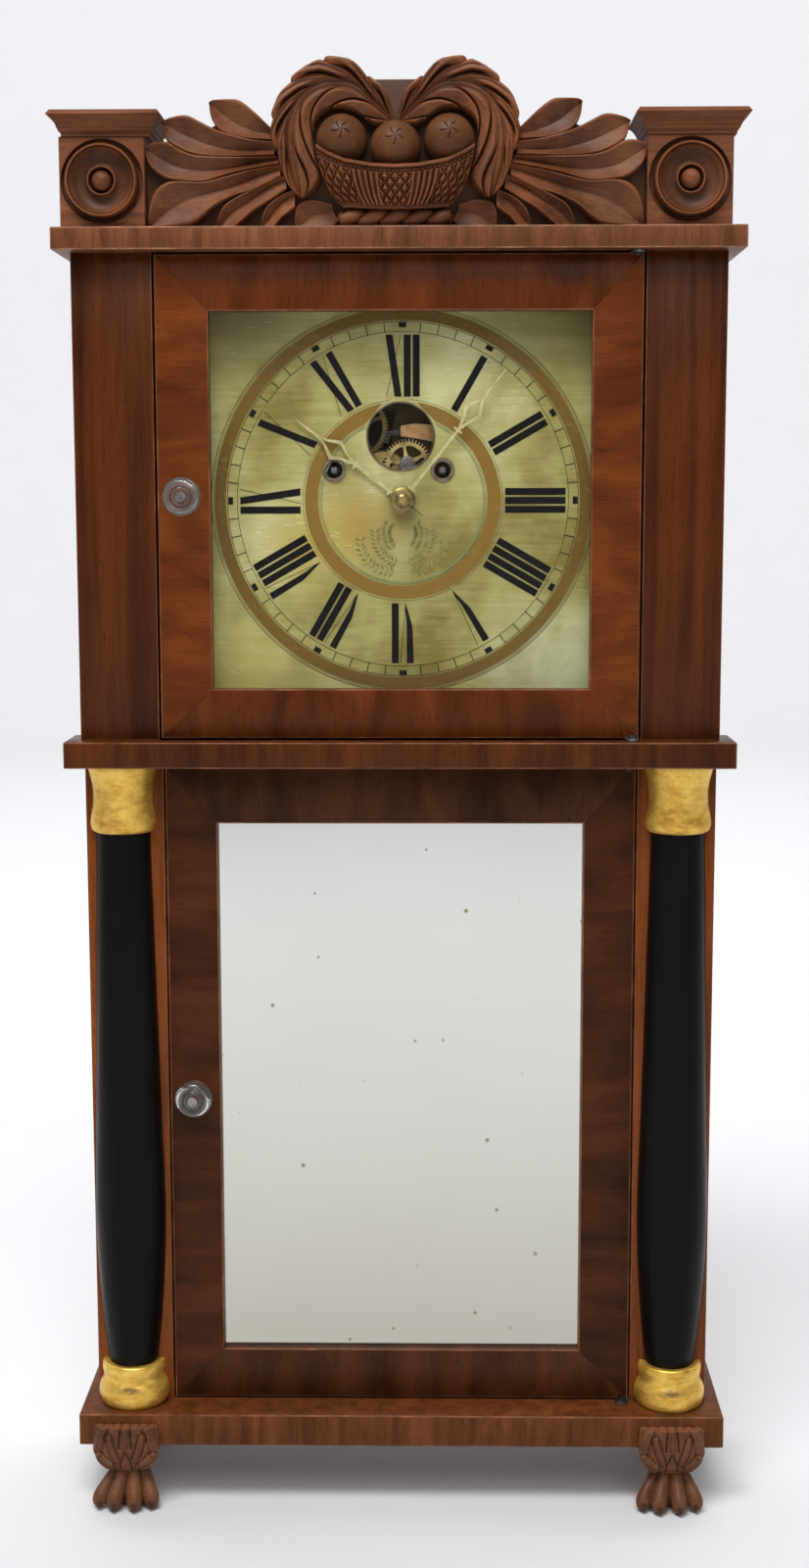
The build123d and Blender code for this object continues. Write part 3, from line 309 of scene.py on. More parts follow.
class Value:
    """A number or colour that a node gives; what is done with it makes further nodes."""

    def __init__(self, socket):
        self.socket = socket
        self.tree = socket.id_data

    def maths(self, how, other):
        return output(self.tree, "ShaderNodeMath", {0: self, 1: other}, operation=how)

    def __add__(self, other):
        return self.maths("ADD", other)

    def __sub__(self, other):
        return self.maths("SUBTRACT", other)

    def __mul__(self, other):
        return self.maths("MULTIPLY", other)

    def span(self, low, high, to_low=0.0, to_high=1.0):
        """The value spread from one range to another, and held at its ends."""
        inputs = {"Value": self, "From Min": low, "From Max": high, "To Min": to_low, "To Max": to_high}
        return output(self.tree, "ShaderNodeMapRange", inputs)

    def between(self, low, high):
        """Noise spread between two values."""
        return self.span(NOISE_LOW, NOISE_HIGH, low, high)

    def ramp(self, *stops):
        """Colours blended by the value: position and colour pairs."""
        colour = output(self.tree, "ShaderNodeValToRGB", {"Fac": self})
        marks = colour.socket.node.color_ramp.elements
        marks[0].position = stops[0][0]
        marks[1].position = stops[-1][0]
        for position, tone in stops[1:-1]:
            marks.new(position)
        for mark, (position, tone) in zip(marks, stops):
            mark.color = (*tone, 1)
        return colour

    def blend(self, share, tone):
        """The colour mixed with another one by a share."""
        return output(self.tree, "ShaderNodeMix", {0: share, 6: self, 7: (*tone, 1)}, 2, data_type="RGBA")

    def bump(self, deep, strength):
        """A small relief, its depth in metres."""
        return output(self.tree, "ShaderNodeBump", {"Height": self, "Distance": deep, "Strength": strength})


def blank(name):
    """A new material and its node tree."""
    material = bpy.data.materials.new(name)
    material.use_nodes = True
    return material, material.node_tree


def painted(material, colour, rough, relief=None, **others):
    """The material with its shader's inputs set; _ stands for a space in the names of the others."""
    inputs = {"Base Color": colour, "Roughness": rough}
    if relief:
        inputs["Normal"] = relief
    for key, value in others.items():
        inputs[key.replace("_", " ")] = value
    feed(material.node_tree.nodes["Principled BSDF"], inputs)
    return material


def spot(tree):
    """The place on the object, in metres."""
    return output(tree, "ShaderNodeTexCoord", {}, "Object")


def grain(tree, scale, detail=3.0, rough=0.55, twist=0.0):
    """Noise with a number of cycles to the metre, the same along all axes or one for each."""
    scale = scale if isinstance(scale, (tuple, list)) else (scale, scale, scale)
    mapped = output(tree, "ShaderNodeMapping", {"Vector": spot(tree), "Scale": scale})
    inputs = {"Vector": mapped, "Scale": 1.0, "Detail": detail, "Roughness": rough, "Distortion": twist}
    return output(tree, "ShaderNodeTexNoise", inputs)


def patch_at(tree, at, halves, core=0.5):
    """1 inside an oval patch and 0 outside it: its middle and half sizes in millimetres."""
    away = spot(tree)
    for how, sizes in (("SUBTRACT", at), ("DIVIDE", halves)):
        away = output(tree, "ShaderNodeVectorMath", {0: away, 1: [c * MM for c in sizes]}, operation=how)
    reach = output(tree, "ShaderNodeVectorMath", {0: away}, "Value", operation="LENGTH")
    return reach.span(core, 1.0, 1.0, 0.0)


def times(colour, share):
    """A colour made darker or lighter."""
    return tuple(c * share for c in colour)


def lighter(colour, contrast, weights):
    """A colour made lighter, each channel by its own weight."""
    return tuple(c * (1 + w * contrast) for c, w in zip(colour, weights))


# Places and sizes the finishes share with the shapes
post_low, post_high = place("column_boards")
ring_low = place("column_bases")[0]
dial_low, dial_high = place("dial_panel")
column_r = 24.5
column_x = place("columns")[1].x - column_r
column_y = post_low.y
capital_r = 23.5
ring_r = 25.0
dial_x, dial_z = middle("hand_nut")
dial_face = dial_low.y


# Materials

def surface(name, scale, detail, gain, stops, rough, relief=None, **others):
    """A finish with one noise for its colour, its roughness and its relief."""
    material, tree = blank(name)
    noise = grain(tree, scale, detail, gain)
    bump = noise.bump(*relief) if relief else None
    return painted(material, noise.ramp(*stops), noise.between(*rough), bump, **others)


def wood(name, along, tone, stripe, reach, contrast=0.5, shine=0.34):
    """Polished mahogany: grain axis, middle colour, width of the ribbon figure and its length in widths."""
    material, tree = blank(name)

    def stretched(wide, long, *settings):
        scale = [1 / wide] * 3
        scale[along] = 1 / long
        return grain(tree, scale, *settings)

    ribbon = stretched(stripe, stripe * reach, 3, 0.5, 0.7)
    fibre = stretched(0.0012, 0.03, 2, 0.6)
    pit = stretched(0.0007, 0.011, 1).span(0.62, 0.72)
    figure = ribbon * 0.62 + grain(tree, 9, 2) * 0.26 + fibre * 0.12
    pale = lighter(tone, contrast, (1, 1.15, 1.1))
    colour = figure.ramp((0.36, times(tone, 1 - contrast)), (0.5, tone), (0.64, pale))
    colour = colour.blend(pit * 0.55, times(tone, 0.25))
    rough = grain(tree, 26, 5, 0.7).between(shine - 0.06, shine + 0.1)
    relief = (fibre * 0.4 - pit).bump(0.0003, 0.25)
    return painted(material, colour, rough, relief, Specular_IOR_Level=0.12)


def carved(name, tone, contrast=0.55):
    """Carved wood under old varnish: painted shade and grime darken its hollows, and rubbed wear and painted
    highlight lighten its ridges.
    """
    material, tree = blank(name)
    cloud = grain(tree, 22, 4, 0.6)
    fibre = grain(tree, (60, 700, 700), 3, 0.6)
    pale = lighter(tone, contrast, (1, 1.1, 0.9))
    colour = (cloud * 0.7 + fibre * 0.3).ramp((0.36, times(tone, 1 - contrast)), (0.5, tone), (0.66, pale))
    edge = output(tree, "ShaderNodeNewGeometry", {}, "Pointiness")
    # Painted shade with grime in the hollows, then rubbed wear with painted highlight on the ridges, both
    # read from pointiness.
    colour = colour.blend(edge.span(0.5, 0.44, 0.0, 0.88), times(tone, 0.18))
    colour = colour.blend(edge.span(0.52, 0.6, 0.0, 0.55), times(pale, 1.5))
    rough = cloud.between(0.36, 0.52)
    return painted(material, colour, rough, fibre.bump(0.0003, 0.3), Specular_IOR_Level=0.17)


def worn_edge(name, tone):
    """A rubbed arris, where the varnish is thin."""
    stops = ((0.35, times(tone, 0.8)), (0.55, times(tone, 1.7)), (0.75, times(tone, 3.2)))
    return surface(name, 45, 4, 0.7, stops, (0.34, 0.5), Specular_IOR_Level=0.2)


def pine():
    """Bare wood, dull and brown with age."""
    material, tree = blank("bare_pine")
    ring = grain(tree, (160, 160, 7), 3, 0.6, 0.6)
    stain = grain(tree, 14, 4, 0.65)
    colour = ring.ramp((0.3, (0.12, 0.062, 0.027)), (0.5, (0.21, 0.12, 0.056)), (0.7, (0.3, 0.18, 0.09)))
    colour = colour.blend(stain.span(0.45, 0.7, 0.0, 0.6), (0.075, 0.04, 0.02))
    return painted(material, colour, stain.between(0.62, 0.85), ring.bump(0.0004, 0.4))


def ebonised():
    """Black varnish over wood, with a faint upright sheen."""
    material, tree = blank("ebonised")
    fibre = grain(tree, (500, 500, 16), 3, 0.6)
    rub = grain(tree, (30, 30, 12), 5, 0.7)
    colour = rub.ramp(
        (0.35, (0.002, 0.002, 0.0023)), (0.6, (0.004, 0.0039, 0.004)), (0.8, (0.009, 0.008, 0.0075)),
    )
    rough = (fibre * rub).span(0.15, 0.4, 0.3, 0.46)
    return painted(material, colour, rough, fibre.bump(0.0003, 0.2), Specular_IOR_Level=0.1)


def gilding():
    """Gold leaf, patchy and rubbed through in specks and at the front of each base."""
    material, tree = blank("gilding")
    patch = grain(tree, (55, 55, 70), 4, 0.6)
    stroke = grain(tree, (140, 140, 420), 3, 0.6)
    colour = (patch * 0.65 + stroke * 0.35).ramp(
        (0.35, (0.52, 0.27, 0.036)), (0.52, (0.8, 0.5, 0.088)), (0.68, (0.94, 0.66, 0.165)),
    )
    worn = grain(tree, 330, 2, 0.5).span(0.66, 0.74) * patch.span(0.4, 0.62)
    for s in SIDES:
        at = (s * column_x, column_y - ring_r, ring_low.z + 15.5)
        worn = worn.maths("MAXIMUM", patch_at(tree, at, (8.5, 9.0, 3.2)) * stroke.span(0.3, 0.5))
    colour = colour.blend(worn * 0.85, (0.09, 0.045, 0.014))
    pure = worn.span(0.0, 1.0, 0.62, 0.1)
    return painted(material, colour, stroke.between(0.3, 0.46), stroke.bump(0.0003, 0.3), Metallic=pure)


def metal(name, dark, bright, rough, pure=1.0):
    """Old metal: tarnish in clouds and fine scratches."""
    material, tree = blank(name)
    cloud = grain(tree, 120, 4, 0.65)
    scratch = grain(tree, (300, 900, 2200), 2, 0.5)
    colour = cloud.ramp((0.34, dark), (0.62, bright))
    shade = (cloud + scratch).span(0.7, 1.3, rough - 0.08, rough + 0.16)
    return painted(material, colour, shade, scratch.bump(0.0001, 0.15), Metallic=pure)


def silvered():
    """Old mirror silvering, darker and warmer towards its foot, partly from age and partly as a painted
    reflection of the darker floor near the clock, with a few brown spots.
    """
    material, tree = blank("mirror")
    low, high = place("lower_mirror")
    height = output(tree, "ShaderNodeSeparateXYZ", {0: spot(tree)}, "Z")
    # Painted reflection with some old tint: the colour darkens towards the foot as the reflected floor does.
    painted_reflection_fade = height.span(low.z * MM, high.z * MM) + grain(tree, 4).between(-0.06, 0.06)
    flat = output(tree, "ShaderNodeMapping", {"Vector": spot(tree), "Scale": (62, 0, 62)})
    cell = output(tree, "ShaderNodeTexVoronoi", {"Vector": flat, "Scale": 1.0}, "Distance")
    tint = Value(cell.socket.node.outputs["Color"])
    worst = patch_at(tree, (95, low.y, 170), (150, 60, 190), 0.0)
    grow = (tint + worst * 0.22).span(0.5, 1.0, -0.06, 0.1)
    spots = (cell - grow).span(-0.02, 0.05, 1.0, 0.0)
    colour = painted_reflection_fade.ramp((0.0, (0.55, 0.527, 0.45)), (0.45, (0.644, 0.638, 0.585)), (1.0, (0.83, 0.837, 0.796)))
    colour = colour.blend(spots * 0.9, (0.3, 0.25, 0.12))
    return painted(material, colour, spots.span(0.0, 1.0, 0.03, 0.4), Metallic=1.0)


def pane():
    """Thin window glass: clear, and a mirror only as far as glass reflects."""
    material, tree = blank("pane")
    film = grain(tree, (30, 30, 90), 4, 0.7)
    shine = output(tree, "ShaderNodeFresnel", {"IOR": 1.45})
    veil = shine * 0.25 + film.span(0.5, 0.8, 0.0, 0.006)
    colour = film.ramp((0.3, (0.9, 0.92, 0.9)), (0.7, (1.0, 1.0, 0.98)))
    wave = grain(tree, (14, 14, 9), 2).bump(0.002, 0.08)
    return painted(material, colour, 0.04, wave, Metallic=1.0, Alpha=veil)


def knob_glass():
    """Pressed clear glass with a grey cast."""
    stops = ((0.35, (0.86, 0.85, 0.79)), (0.65, (0.97, 0.97, 0.94)))
    clear = {"Transmission_Weight": 0.96, "IOR": 1.5}
    return surface("knob_glass", 260, 3, 0.55, stops, (0.02, 0.07), (0.0003, 0.12), **clear)


# Stains of the dial, and painted shade in its two upper corners: place from its centre, reach and colour
dial_stains_and_shade = (
    (-30, -20, 40, (0.4, 0.25, 0.045)), (0, -9, 20, (0.3, 0.21, 0.06)),
    (-62, -30, 44, (0.5, 0.4, 0.1)), (-44, 20, 26, (0.36, 0.3, 0.09)),
    # The dark entries at (112, 122) and (-112, 122) are painted shadow of the door's top rail.
    (-112, -118, 60, (0.52, 0.45, 0.13)), (112, 122, 70, (0.22, 0.19, 0.06)),
    (-112, 122, 60, (0.2, 0.18, 0.06)), (100, -112, 60, (0.62, 0.66, 0.4)),
    (6, -40, 40, (0.4, 0.38, 0.16)),
)


def dial_paint():
    """Yellowed cream paint with brush marks, stains, pale flecks and painted shade in its upper corners."""
    material, tree = blank("dial_paint")
    brush = grain(tree, (26, 26, 520), 4, 0.65)
    cloud = grain(tree, (13, 13, 11), 4, 0.6)
    colour = (brush * 0.18 + cloud * 0.82).ramp(
        (0.36, (0.24, 0.195, 0.045)), (0.5, (0.43, 0.395, 0.14)), (0.64, (0.62, 0.6, 0.29)),
    )
    for x, z, wide, shade in dial_stains_and_shade:
        near = patch_at(tree, (dial_x + x, dial_face, dial_z + z), (wide, wide, wide), 0.2)
        colour = colour.blend(near * cloud.span(0.3, 0.62), shade)
    flaked = grain(tree, (75, 75, 900), 3, 0.6).span(0.62, 0.68) * cloud.span(0.5, 0.62)
    colour = colour.blend(flaked * 0.8, (0.8, 0.8, 0.58))
    rough = brush.between(0.38, 0.55)
    return painted(material, colour, rough, brush.bump(0.0005, 0.5), Specular_IOR_Level=0.12)


def print_ink(name, dark, worn, share):
    """Paint of the dial's print, rubbed away in specks."""
    stops = ((share, dark), (share + 0.16, worn))
    return surface(name, (240, 240, 420), 4, 0.7, stops, (0.35, 0.6), Specular_IOR_Level=0.1)


def studio(name, tone):
    """The pale paper of the stage."""
    return surface(name, 7, 3, 0.55, ((0.3, times(tone, 0.985)), (0.7, tone)), (0.7, 0.8))


# Axes that the grain runs along
X = 0
Z = 2
slab_wood = wood("slab_wood", Z, (0.15, 0.052, 0.021), 0.011, 10, 0.4)
shelf_wood = wood("shelf_wood", Z, (0.068, 0.017, 0.0035), 0.010, 10, 0.5)
base_wood = wood("base_wood", Z, (0.115, 0.034, 0.009), 0.010, 10, 0.4)
pilaster_wood = wood("pilaster_wood", Z, (0.068, 0.0155, 0.0028), 0.013, 26, 0.6)
side_wood = wood("side_wood", Z, (0.09, 0.025, 0.006), 0.02, 20, 0.45)
post_wood = wood("post_wood", Z, (0.18, 0.046, 0.009), 0.009, 24, 0.4)
upper_stile_wood = wood("upper_stile_wood", X, (0.116, 0.0265, 0.0045), 0.024, 3.5, 0.5)
upper_rail_wood = wood("upper_rail_wood", Z, (0.096, 0.021, 0.0032), 0.024, 3.5, 0.5)
lower_stile_wood = wood("lower_stile_wood", X, (0.05, 0.0125, 0.0025), 0.026, 3.5, 0.55)
lower_rail_wood = wood("lower_rail_wood", Z, (0.06, 0.018, 0.0055), 0.026, 3.5, 0.55)
block_wood = wood("block_wood", X, (0.165, 0.057, 0.025), 0.008, 12, 0.4, 0.66)
carved_wood = carved("carved_wood", (0.14, 0.047, 0.019))
# A darker copy of the carved wood: painted shade for the crest board seen between the leaves.
shaded_ground_wood = carved("shaded_ground_wood", (0.06, 0.024, 0.012), 0.4)
fruit_wood = carved("fruit_wood", (0.115, 0.043, 0.016), 0.4)
claw_wood = carved("claw_wood", (0.038, 0.017, 0.009), 0.3)
paw_wood = carved("paw_wood", (0.12, 0.046, 0.02))
rubbed = worn_edge("rubbed_edge", (0.12, 0.045, 0.02))
pale_rubbed = worn_edge("pale_rubbed_edge", (0.2, 0.09, 0.045))
black = ebonised()
gold = gilding()
hand_brass = metal("hand_brass", (0.46, 0.41, 0.17), (0.72, 0.66, 0.33), 0.4, 0.35)
nut_brass = metal("nut_brass", (0.16, 0.115, 0.04), (0.42, 0.32, 0.12), 0.32, 0.85)
gear_brass = metal("gear_brass", (0.4, 0.29, 0.08), (0.78, 0.6, 0.22), 0.3, 0.6)
dull_brass = metal("dull_brass", (0.03, 0.02, 0.007), (0.1, 0.068, 0.022), 0.5)
steel = metal("steel", (0.14, 0.13, 0.12), (0.42, 0.4, 0.38), 0.36)
dull_steel = metal("dull_steel", (0.1, 0.075, 0.045), (0.3, 0.24, 0.16), 0.42, 0.7)
iron = metal("iron", (0.035, 0.032, 0.03), (0.11, 0.1, 0.092), 0.55)
knob_clear = knob_glass()
dial_ground = dial_paint()

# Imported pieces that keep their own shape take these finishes
finish_of = {
    "mahogany": side_wood, "bare_pine": pine(), "ebonised": black, "gilding": gold, "pane": pane(),
    "knob_glass": knob_clear, "mirror": silvered(), "dial_paint": dial_ground, "steel": steel, "iron": iron,
    "brass": metal("brass", (0.36, 0.24, 0.075), (0.7, 0.5, 0.18), 0.34, 0.6),
    "copper_brass": metal("copper_brass", (0.46, 0.24, 0.085), (0.7, 0.42, 0.17), 0.36, 0.5),
}
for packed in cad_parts.values():
    for holder in packed.material_slots:
        holder.material = finish_of[holder.material.name.split(".")[0]]
for name, finish in (
    ("hour_hand", hand_brass), ("minute_hand", hand_brass), ("front_plate", dull_brass),
    ("back_plate", dull_brass), ("hinge_pins", iron), ("hand_nut", nut_brass), ("time_drum", steel),
    ("strike_drum", steel), ("verge", iron),
):
    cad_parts[name].material_slots[0].material = finish

# Boards of the case
board_ease = 0.9
post_ease = 0.6
for name, finish, edge in (
    ("base_board", base_wood, rubbed), ("mid_shelf", shelf_wood, rubbed),
    ("top_slab", slab_wood, pale_rubbed),
):
    shape = Shape()
    shape.board(*place(name), board_ease)
    shape.piece(name + "_veneered", name, finish, edge)
for name, wide, finish in (("upper_pilasters", 53.5, pilaster_wood), ("column_boards", 53.9, post_wood)):
    low, high = place(name)
    shape = Shape()
    for s in SIDES:
        ends = sorted((s * (high.x - wide), s * high.x))
        shape.board((ends[0], low.y, low.z), (ends[1], high.y, high.z), post_ease)
    shape.piece(name + "_veneered", name, finish, rubbed)

side_thick = 14.0
side_low, side_high = place("side_boards")
step_z = place("mid_shelf")[1].z
outline = (
    (side_low.y, step_z), (post_high.y, step_z), (post_high.y, side_low.z),
    (side_high.y, side_low.z), (side_high.y, side_high.z), (side_low.y, side_high.z),
)
shape = Shape()
for s in SIDES:
    shape.tube([[(s * x, y, z) for y, z in outline] for x in (side_high.x - side_thick, side_high.x)])
shape.piece("side_boards_veneered", "side_boards", side_wood)


# Door frames: two rails and two stiles with a rebate, mitred at the corners

mitre_gap = 0.1
edge_ease = 0.9
rebate_lip = 0.17


def door_frame(body, pane_part, *woods, stiles, rails):
    """Four members round an opening: widths at left and right, and below and above."""
    low, high = place(body + "_frame")
    pane_face = place(pane_part)[0].y
    outer = rectangle(low.x, low.z, high.x, high.z)
    inner = rectangle(low.x + stiles[0], low.z + rails[0], high.x - stiles[1], high.z - rails[1])
    t = edge_ease / stiles[0]
    section = (
        (0, low.y + edge_ease), (0.3 * t, low.y + 0.25), (t, low.y), (1 - t, low.y),
        (1 - 0.3 * t, low.y + 0.25), (1, low.y + edge_ease), (1, high.y), (rebate_lip, high.y),
        (rebate_lip, pane_face), (0, pane_face),
    )
    shape = Shape()
    for k in range(4):
        n = (k + 1) % 4
        along = (Vector(inner[n]) - Vector(inner[k])).normalized() * mitre_gap
        rings = []
        for corner, shift in ((k, along), (n, -along)):
            ring = []
            for share, y in section:
                p = Vector(inner[corner]).lerp(Vector(outer[corner]), share) + shift
                ring.append((p.x, y, p.y))
            rings.append(ring)
        skin = k % 2
        shape.tube(rings, (2, 2, skin, 2, 2, skin, skin, skin, skin, skin))
    shape.piece(body + "_veneered", body + "_frame", *woods, rubbed, body=body)


door_frame(
    "upper_door", "upper_door_glass", upper_rail_wood, upper_stile_wood,
    stiles=(35.5, 33.5), rails=(33.3, 36.8),
)
door_frame(
    "lower_door", "lower_mirror", lower_rail_wood, lower_stile_wood,
    stiles=(35.5, 35.5), rails=(35.8, 40.0),
)

# Half columns with gilt capitals and bases, against the column boards
shaft_curve = (
    (0.69, 0), (0.79, 0.05), (0.88, 0.11), (0.96, 0.19), (1.0, 0.276), (0.985, 0.37), (0.94, 0.463),
    (0.75, 1),
)
capital_curve = (
    (0.84, 0), (0.91, 0.03), (0.95, 0.09), (0.957, 0.15), (0.93, 0.26), (0.885, 0.38), (0.868, 0.5),
    (0.873, 0.62), (0.9, 0.74), (0.955, 0.87), (0.99, 0.94), (1.0, 0.97), (1.0, 1),
)
ring_curve = (
    (0.88, 0), (0.965, 0.09), (1.0, 0.25), (0.985, 0.4), (0.935, 0.51), (0.88, 0.59), (0.862, 0.66),
    (0.878, 0.74), (0.895, 0.83), (0.89, 0.92), (0.865, 0.98), (0.81, 1), (0.72, 0.985),
)
half_steps = 48
half_turn = [math.pi * (k / half_steps - 0.5) for k in range(half_steps + 1)]


def half_turnings(name, part, radius, shares, finish, slot, sunk=0):
    """A half turning on each side: shares of radius and height, and how far its ends are let in."""
    low, high = place(part)
    shape = Shape()
    points = curve([(radius * a, mixed(low.z - sunk, high.z + sunk, b)) for a, b in shares], 44)
    for s in SIDES:
        x = s * column_x
        rings = []
        for r, z in points:
            rings.append([(x + r * math.sin(a), column_y - r * math.cos(a), z) for a in half_turn])
        shape.tube(rings)
    shape.piece(name, part, finish, slot=slot)


half_turnings("columns_black", "columns", column_r, shaft_curve, black, "ebonised", 1)
half_turnings("capitals_gilt", "capitals", capital_r, capital_curve, gold, "gilding")
half_turnings("column_bases_gilt", "column_bases", ring_r, ring_curve, gold, "gilding")

# Corner blocks, each with a round groove that the rosette stands in
block_low, block_high = place("corner_blocks")
block_half = 27.9
block_x = block_high.x - block_half
block_shift = -1.8
block_ease = 0.6
groove_r = 27.2
groove_deep = 7.0
rosette_drop = 0.7
rosette_z = middle("rosettes")[1] - rosette_drop
rosette_deep = block_low.y - place("rosettes")[0].y
rosette_profile = (
    (0.05, 1.0), (2.3, 0.97), (4.3, 0.83), (5.6, 0.58), (6.2, 0.3), (6.35, 0.06), (7.2, -0.06), (8.0, 0.04),
    (8.3, 0.36), (8.7, 0.48), (9.2, 0.48), (9.6, 0.36), (10.1, 0.08), (11.5, -0.02), (15, 0.0), (18, 0.14),
    (20.2, 0.42), (20.9, 0.6), (21.2, 0.52), (21.5, 0.7), (22.0, 0.8), (22.7, 0.8), (23.3, 0.7),
    (23.5, 0.54), (23.6, -0.3), (23.6, -0.85),
)


def block_edge(x, inset, side=16):
    """Points round the front of a corner block, each side in equal steps."""
    wide = block_half - inset
    corners = rectangle(x - wide, block_low.z + inset, x + wide, block_high.z - inset)
    points = []
    for a, b in zip(corners, corners[1:] + corners[:1]):
        points += [Vector(a).lerp(Vector(b), k / side) for k in range(side)]
    return points


blocks = Shape()
rosettes = Shape()
for s in SIDES:
    x = s * block_x + block_shift
    rim = block_edge(x, 0)
    rings = []
    for points, y in (
        (rim, block_high.y), (rim, block_low.y + block_ease), (block_edge(x, block_ease), block_low.y),
    ):
        rings.append([(p.x, y, p.y) for p in points])
    for r, deep in ((groove_r, 0), (groove_r - 0.35, 0.4), (groove_r - 0.5, groove_deep)):
        aims = [(p - Vector((x, rosette_z))).normalized() * r for p in rim]
        rings.append([(x + a.x, block_low.y + deep, rosette_z + a.y) for a in aims])
    blocks.tube(rings)
    rosettes.turned(x, rosette_z, [(r, block_low.y - rosette_deep * b) for r, b in rosette_profile], 72)
blocks.piece("corner_blocks_grooved", "corner_blocks", block_wood)
rosettes.piece("rosettes_turned", "rosettes", carved_wood)

# Moulded caps: growth beyond the block and height
cap_low, cap_high = place("block_caps")
cap_profile = (
    (0.8, 0), (0.8, 2.5), (2.2, 3.0), (2.8, 4.0), (2.8, 5.3), (3.6, 5.6), (3.6, 6.8), (4.0, 7.3), (4.7, 8.6),
    (5.7, 10.2), (6.9, 11.6), (8.2, 12.5), (9.2, 12.9), (8.8, 13.6), (7.0, 15.9),
)
cap_over = max(grow for grow, rise in cap_profile)
cap_x = cap_high.x - block_half - cap_over
shape = Shape()
for s in SIDES:
    x = s * cap_x
    rings = []
    for grow, rise in cap_profile:
        wide = block_half + grow
        corners = rectangle(x - wide, block_low.y - grow, x + wide, block_high.y + grow)
        rings.append([(*p, cap_low.z + rise) for p in corners])
    shape.tube(rings)
shape.piece("block_caps_moulded", "block_caps", block_wood, angle=20)


# Crest: relief leaves, a basket of fruit and a rope foot, in front of a plain board

board_low, board_high = place("crest_board")
crest_x = (board_low.x + board_high.x) / 2
crest_ground = board_low.y
crest_sunk = 0.5
slab_top = place("top_slab")[1].z


def relief(shape, rows):
    """A carved sheet on the crest board, left and right: rows of places and heights above the board."""
    for s in SIDES:
        grid = []
        for row in rows:
            row = [(crest_x + s * p.x, p.y, h) for p, h in row]
            grid.append([((x, crest_ground - h, z), (x, crest_ground + crest_sunk, z)) for x, z, h in row])
        shape.slab(grid)


across = [k / 14 for k in range(-14, 15)]


def fan_leaf(shape, tip, upper, lower, fold, layer, depth):
    """A dished leaf: its tip, then its two edges and its fold from the tip to the root."""
    count = 40
    top, low, mid = [curve((tip, *path), count) for path in (upper, lower, fold)]
    rows = []
    for k in range(count + 1):
        u = k / count
        full = depth * (0.72 + 0.28 * soft(u, 0, 0.3))
        valley = mixed(0.62, 0.36, soft(u, 0, 0.25)) + 0.2 * soft(u, 0.75, 0.25)
        rows.append([])
        for v in across:
            side = abs(v)
            edge = top[k] if v < 0 else low[k]
            dish = valley + (1 - valley) * side ** 1.15
            roll = 0.3 * soft(side, 0.86, 0.14) ** 2
            rows[-1].append((mid[k].lerp(edge, side), layer + full * (dish - roll)))
    relief(shape, rows)


fan_leaves = (
    ((121.5, 961.2), ((118.4, 963.0), (108.9, 963.2), (101.5, 962.3), (92, 955.4), (80, 944)),
     ((120.5, 953.3), (117.9, 947.5), (113.1, 942.8), (100.5, 938.6), (79, 937)),
     ((116, 957.5), (105.8, 949.6), (93.1, 943.8), (80, 941.5)), 0.8, 8.6),
    ((152.9, 948.8), ((147.9, 951.6), (136.8, 953.2), (127.9, 949.4), (120.5, 945.6), (113.1, 942.8),
                      (95.2, 937.8), (79, 936)),
     ((152.1, 945.9), (150.5, 939.6), (147.9, 935.9), (137.3, 930.1), (126.8, 927.5), (111, 926.8),
      (95.2, 927), (79, 927.5)),
     ((148, 946.2), (141.5, 943.3), (126.8, 936.6), (111, 932.4), (95.2, 931.4), (79, 931.7)), 1.2, 9.2),
    ((163.2, 932.2), ((160.5, 935.4), (154.2, 936.8), (147.9, 935.9), (142.6, 932.8), (137.3, 930.1),
                      (126.8, 927.5), (95.2, 926.4), (78, 927)),
     ((163.1, 927), (159.4, 919.6), (152.1, 914.3), (144.7, 912), (126.8, 910.7), (111, 915.0),
      (95.2, 918.7), (76, 922)),
     ((156.3, 928), (142.6, 920.9), (126.8, 918.5), (111, 919.8), (95.2, 922.8), (77, 925.5)), 1.6, 9.4),
    ((162.0, 882.4), ((162.1, 890.1), (159.4, 900.7), (154.2, 908), (144.7, 911.6), (126.8, 910.7),
                      (111, 914.2), (95.2, 918), (75, 921.5)),
     ((159.4, 882.2), (137.3, 882.6), (128.9, 886.4), (118.4, 895.4), (105.8, 901.7), (92.1, 905.6),
      (75, 914)),
     ((157, 886), (148.9, 893.3), (137.3, 900.1), (121.5, 904.9), (105.8, 909.1), (90, 915), (75, 919)),
     1.8, 9.4),
    ((116.4, 881.7), ((116.8, 886), (113.1, 894.3), (105.8, 900.1), (91, 907), (73, 914.5)),
     ((106.8, 881.5), (101.5, 884.9), (92.1, 892.8), (82.6, 898.5), (71, 906)),
     ((113, 885), (107.9, 891.2), (97.3, 898.5), (84.7, 907), (72, 912)), 2.2, 8.6),
    ((88.0, 881.5), ((88.1, 885.9), (84.7, 894.3), (77.3, 900.7), (66, 906)),
     ((80.5, 881.5), (74.2, 888), (66, 894)),
     ((84.5, 886), (80.5, 891.2), (74.2, 898.5), (66, 903)), 2.0, 8.0),
    ((66, 881.8), ((66.5, 890), (64, 897), (56, 900), (42, 897)),
     ((52, 881.8), (42, 882.4), (37, 886)),
     ((60, 885.5), (54, 890), (41, 892)), 0.8, 4.2),
)
shape = Shape()
for leaf in fan_leaves:
    fan_leaf(shape, *leaf)
shape.piece("crest_fans_carved", "crest_fans", carved_wood, angle=50)

# The board behind, sawn to a simpler outline; its darker wood is painted shade for the ground between the
# leaves
board_outline = (
    (163, slab_top), (163, 929), (157, 933), (149, 938), (140, 946), (126, 944), (116, 949), (106, 957),
    (96, 954), (82, 943), (79, 955), (73, 965), (64, 973), (54, board_high.z),
)
outline = [(crest_x + x, z) for x, z in board_outline]
outline += [(crest_x - x, z) for x, z in board_outline[::-1]]
shape = Shape()
shape.prism(outline, board_low.y, board_high.y, ease=0.5)
shape.piece("crest_board_sawn", "crest_board", shaded_ground_wood, rubbed, slot="bare_pine")

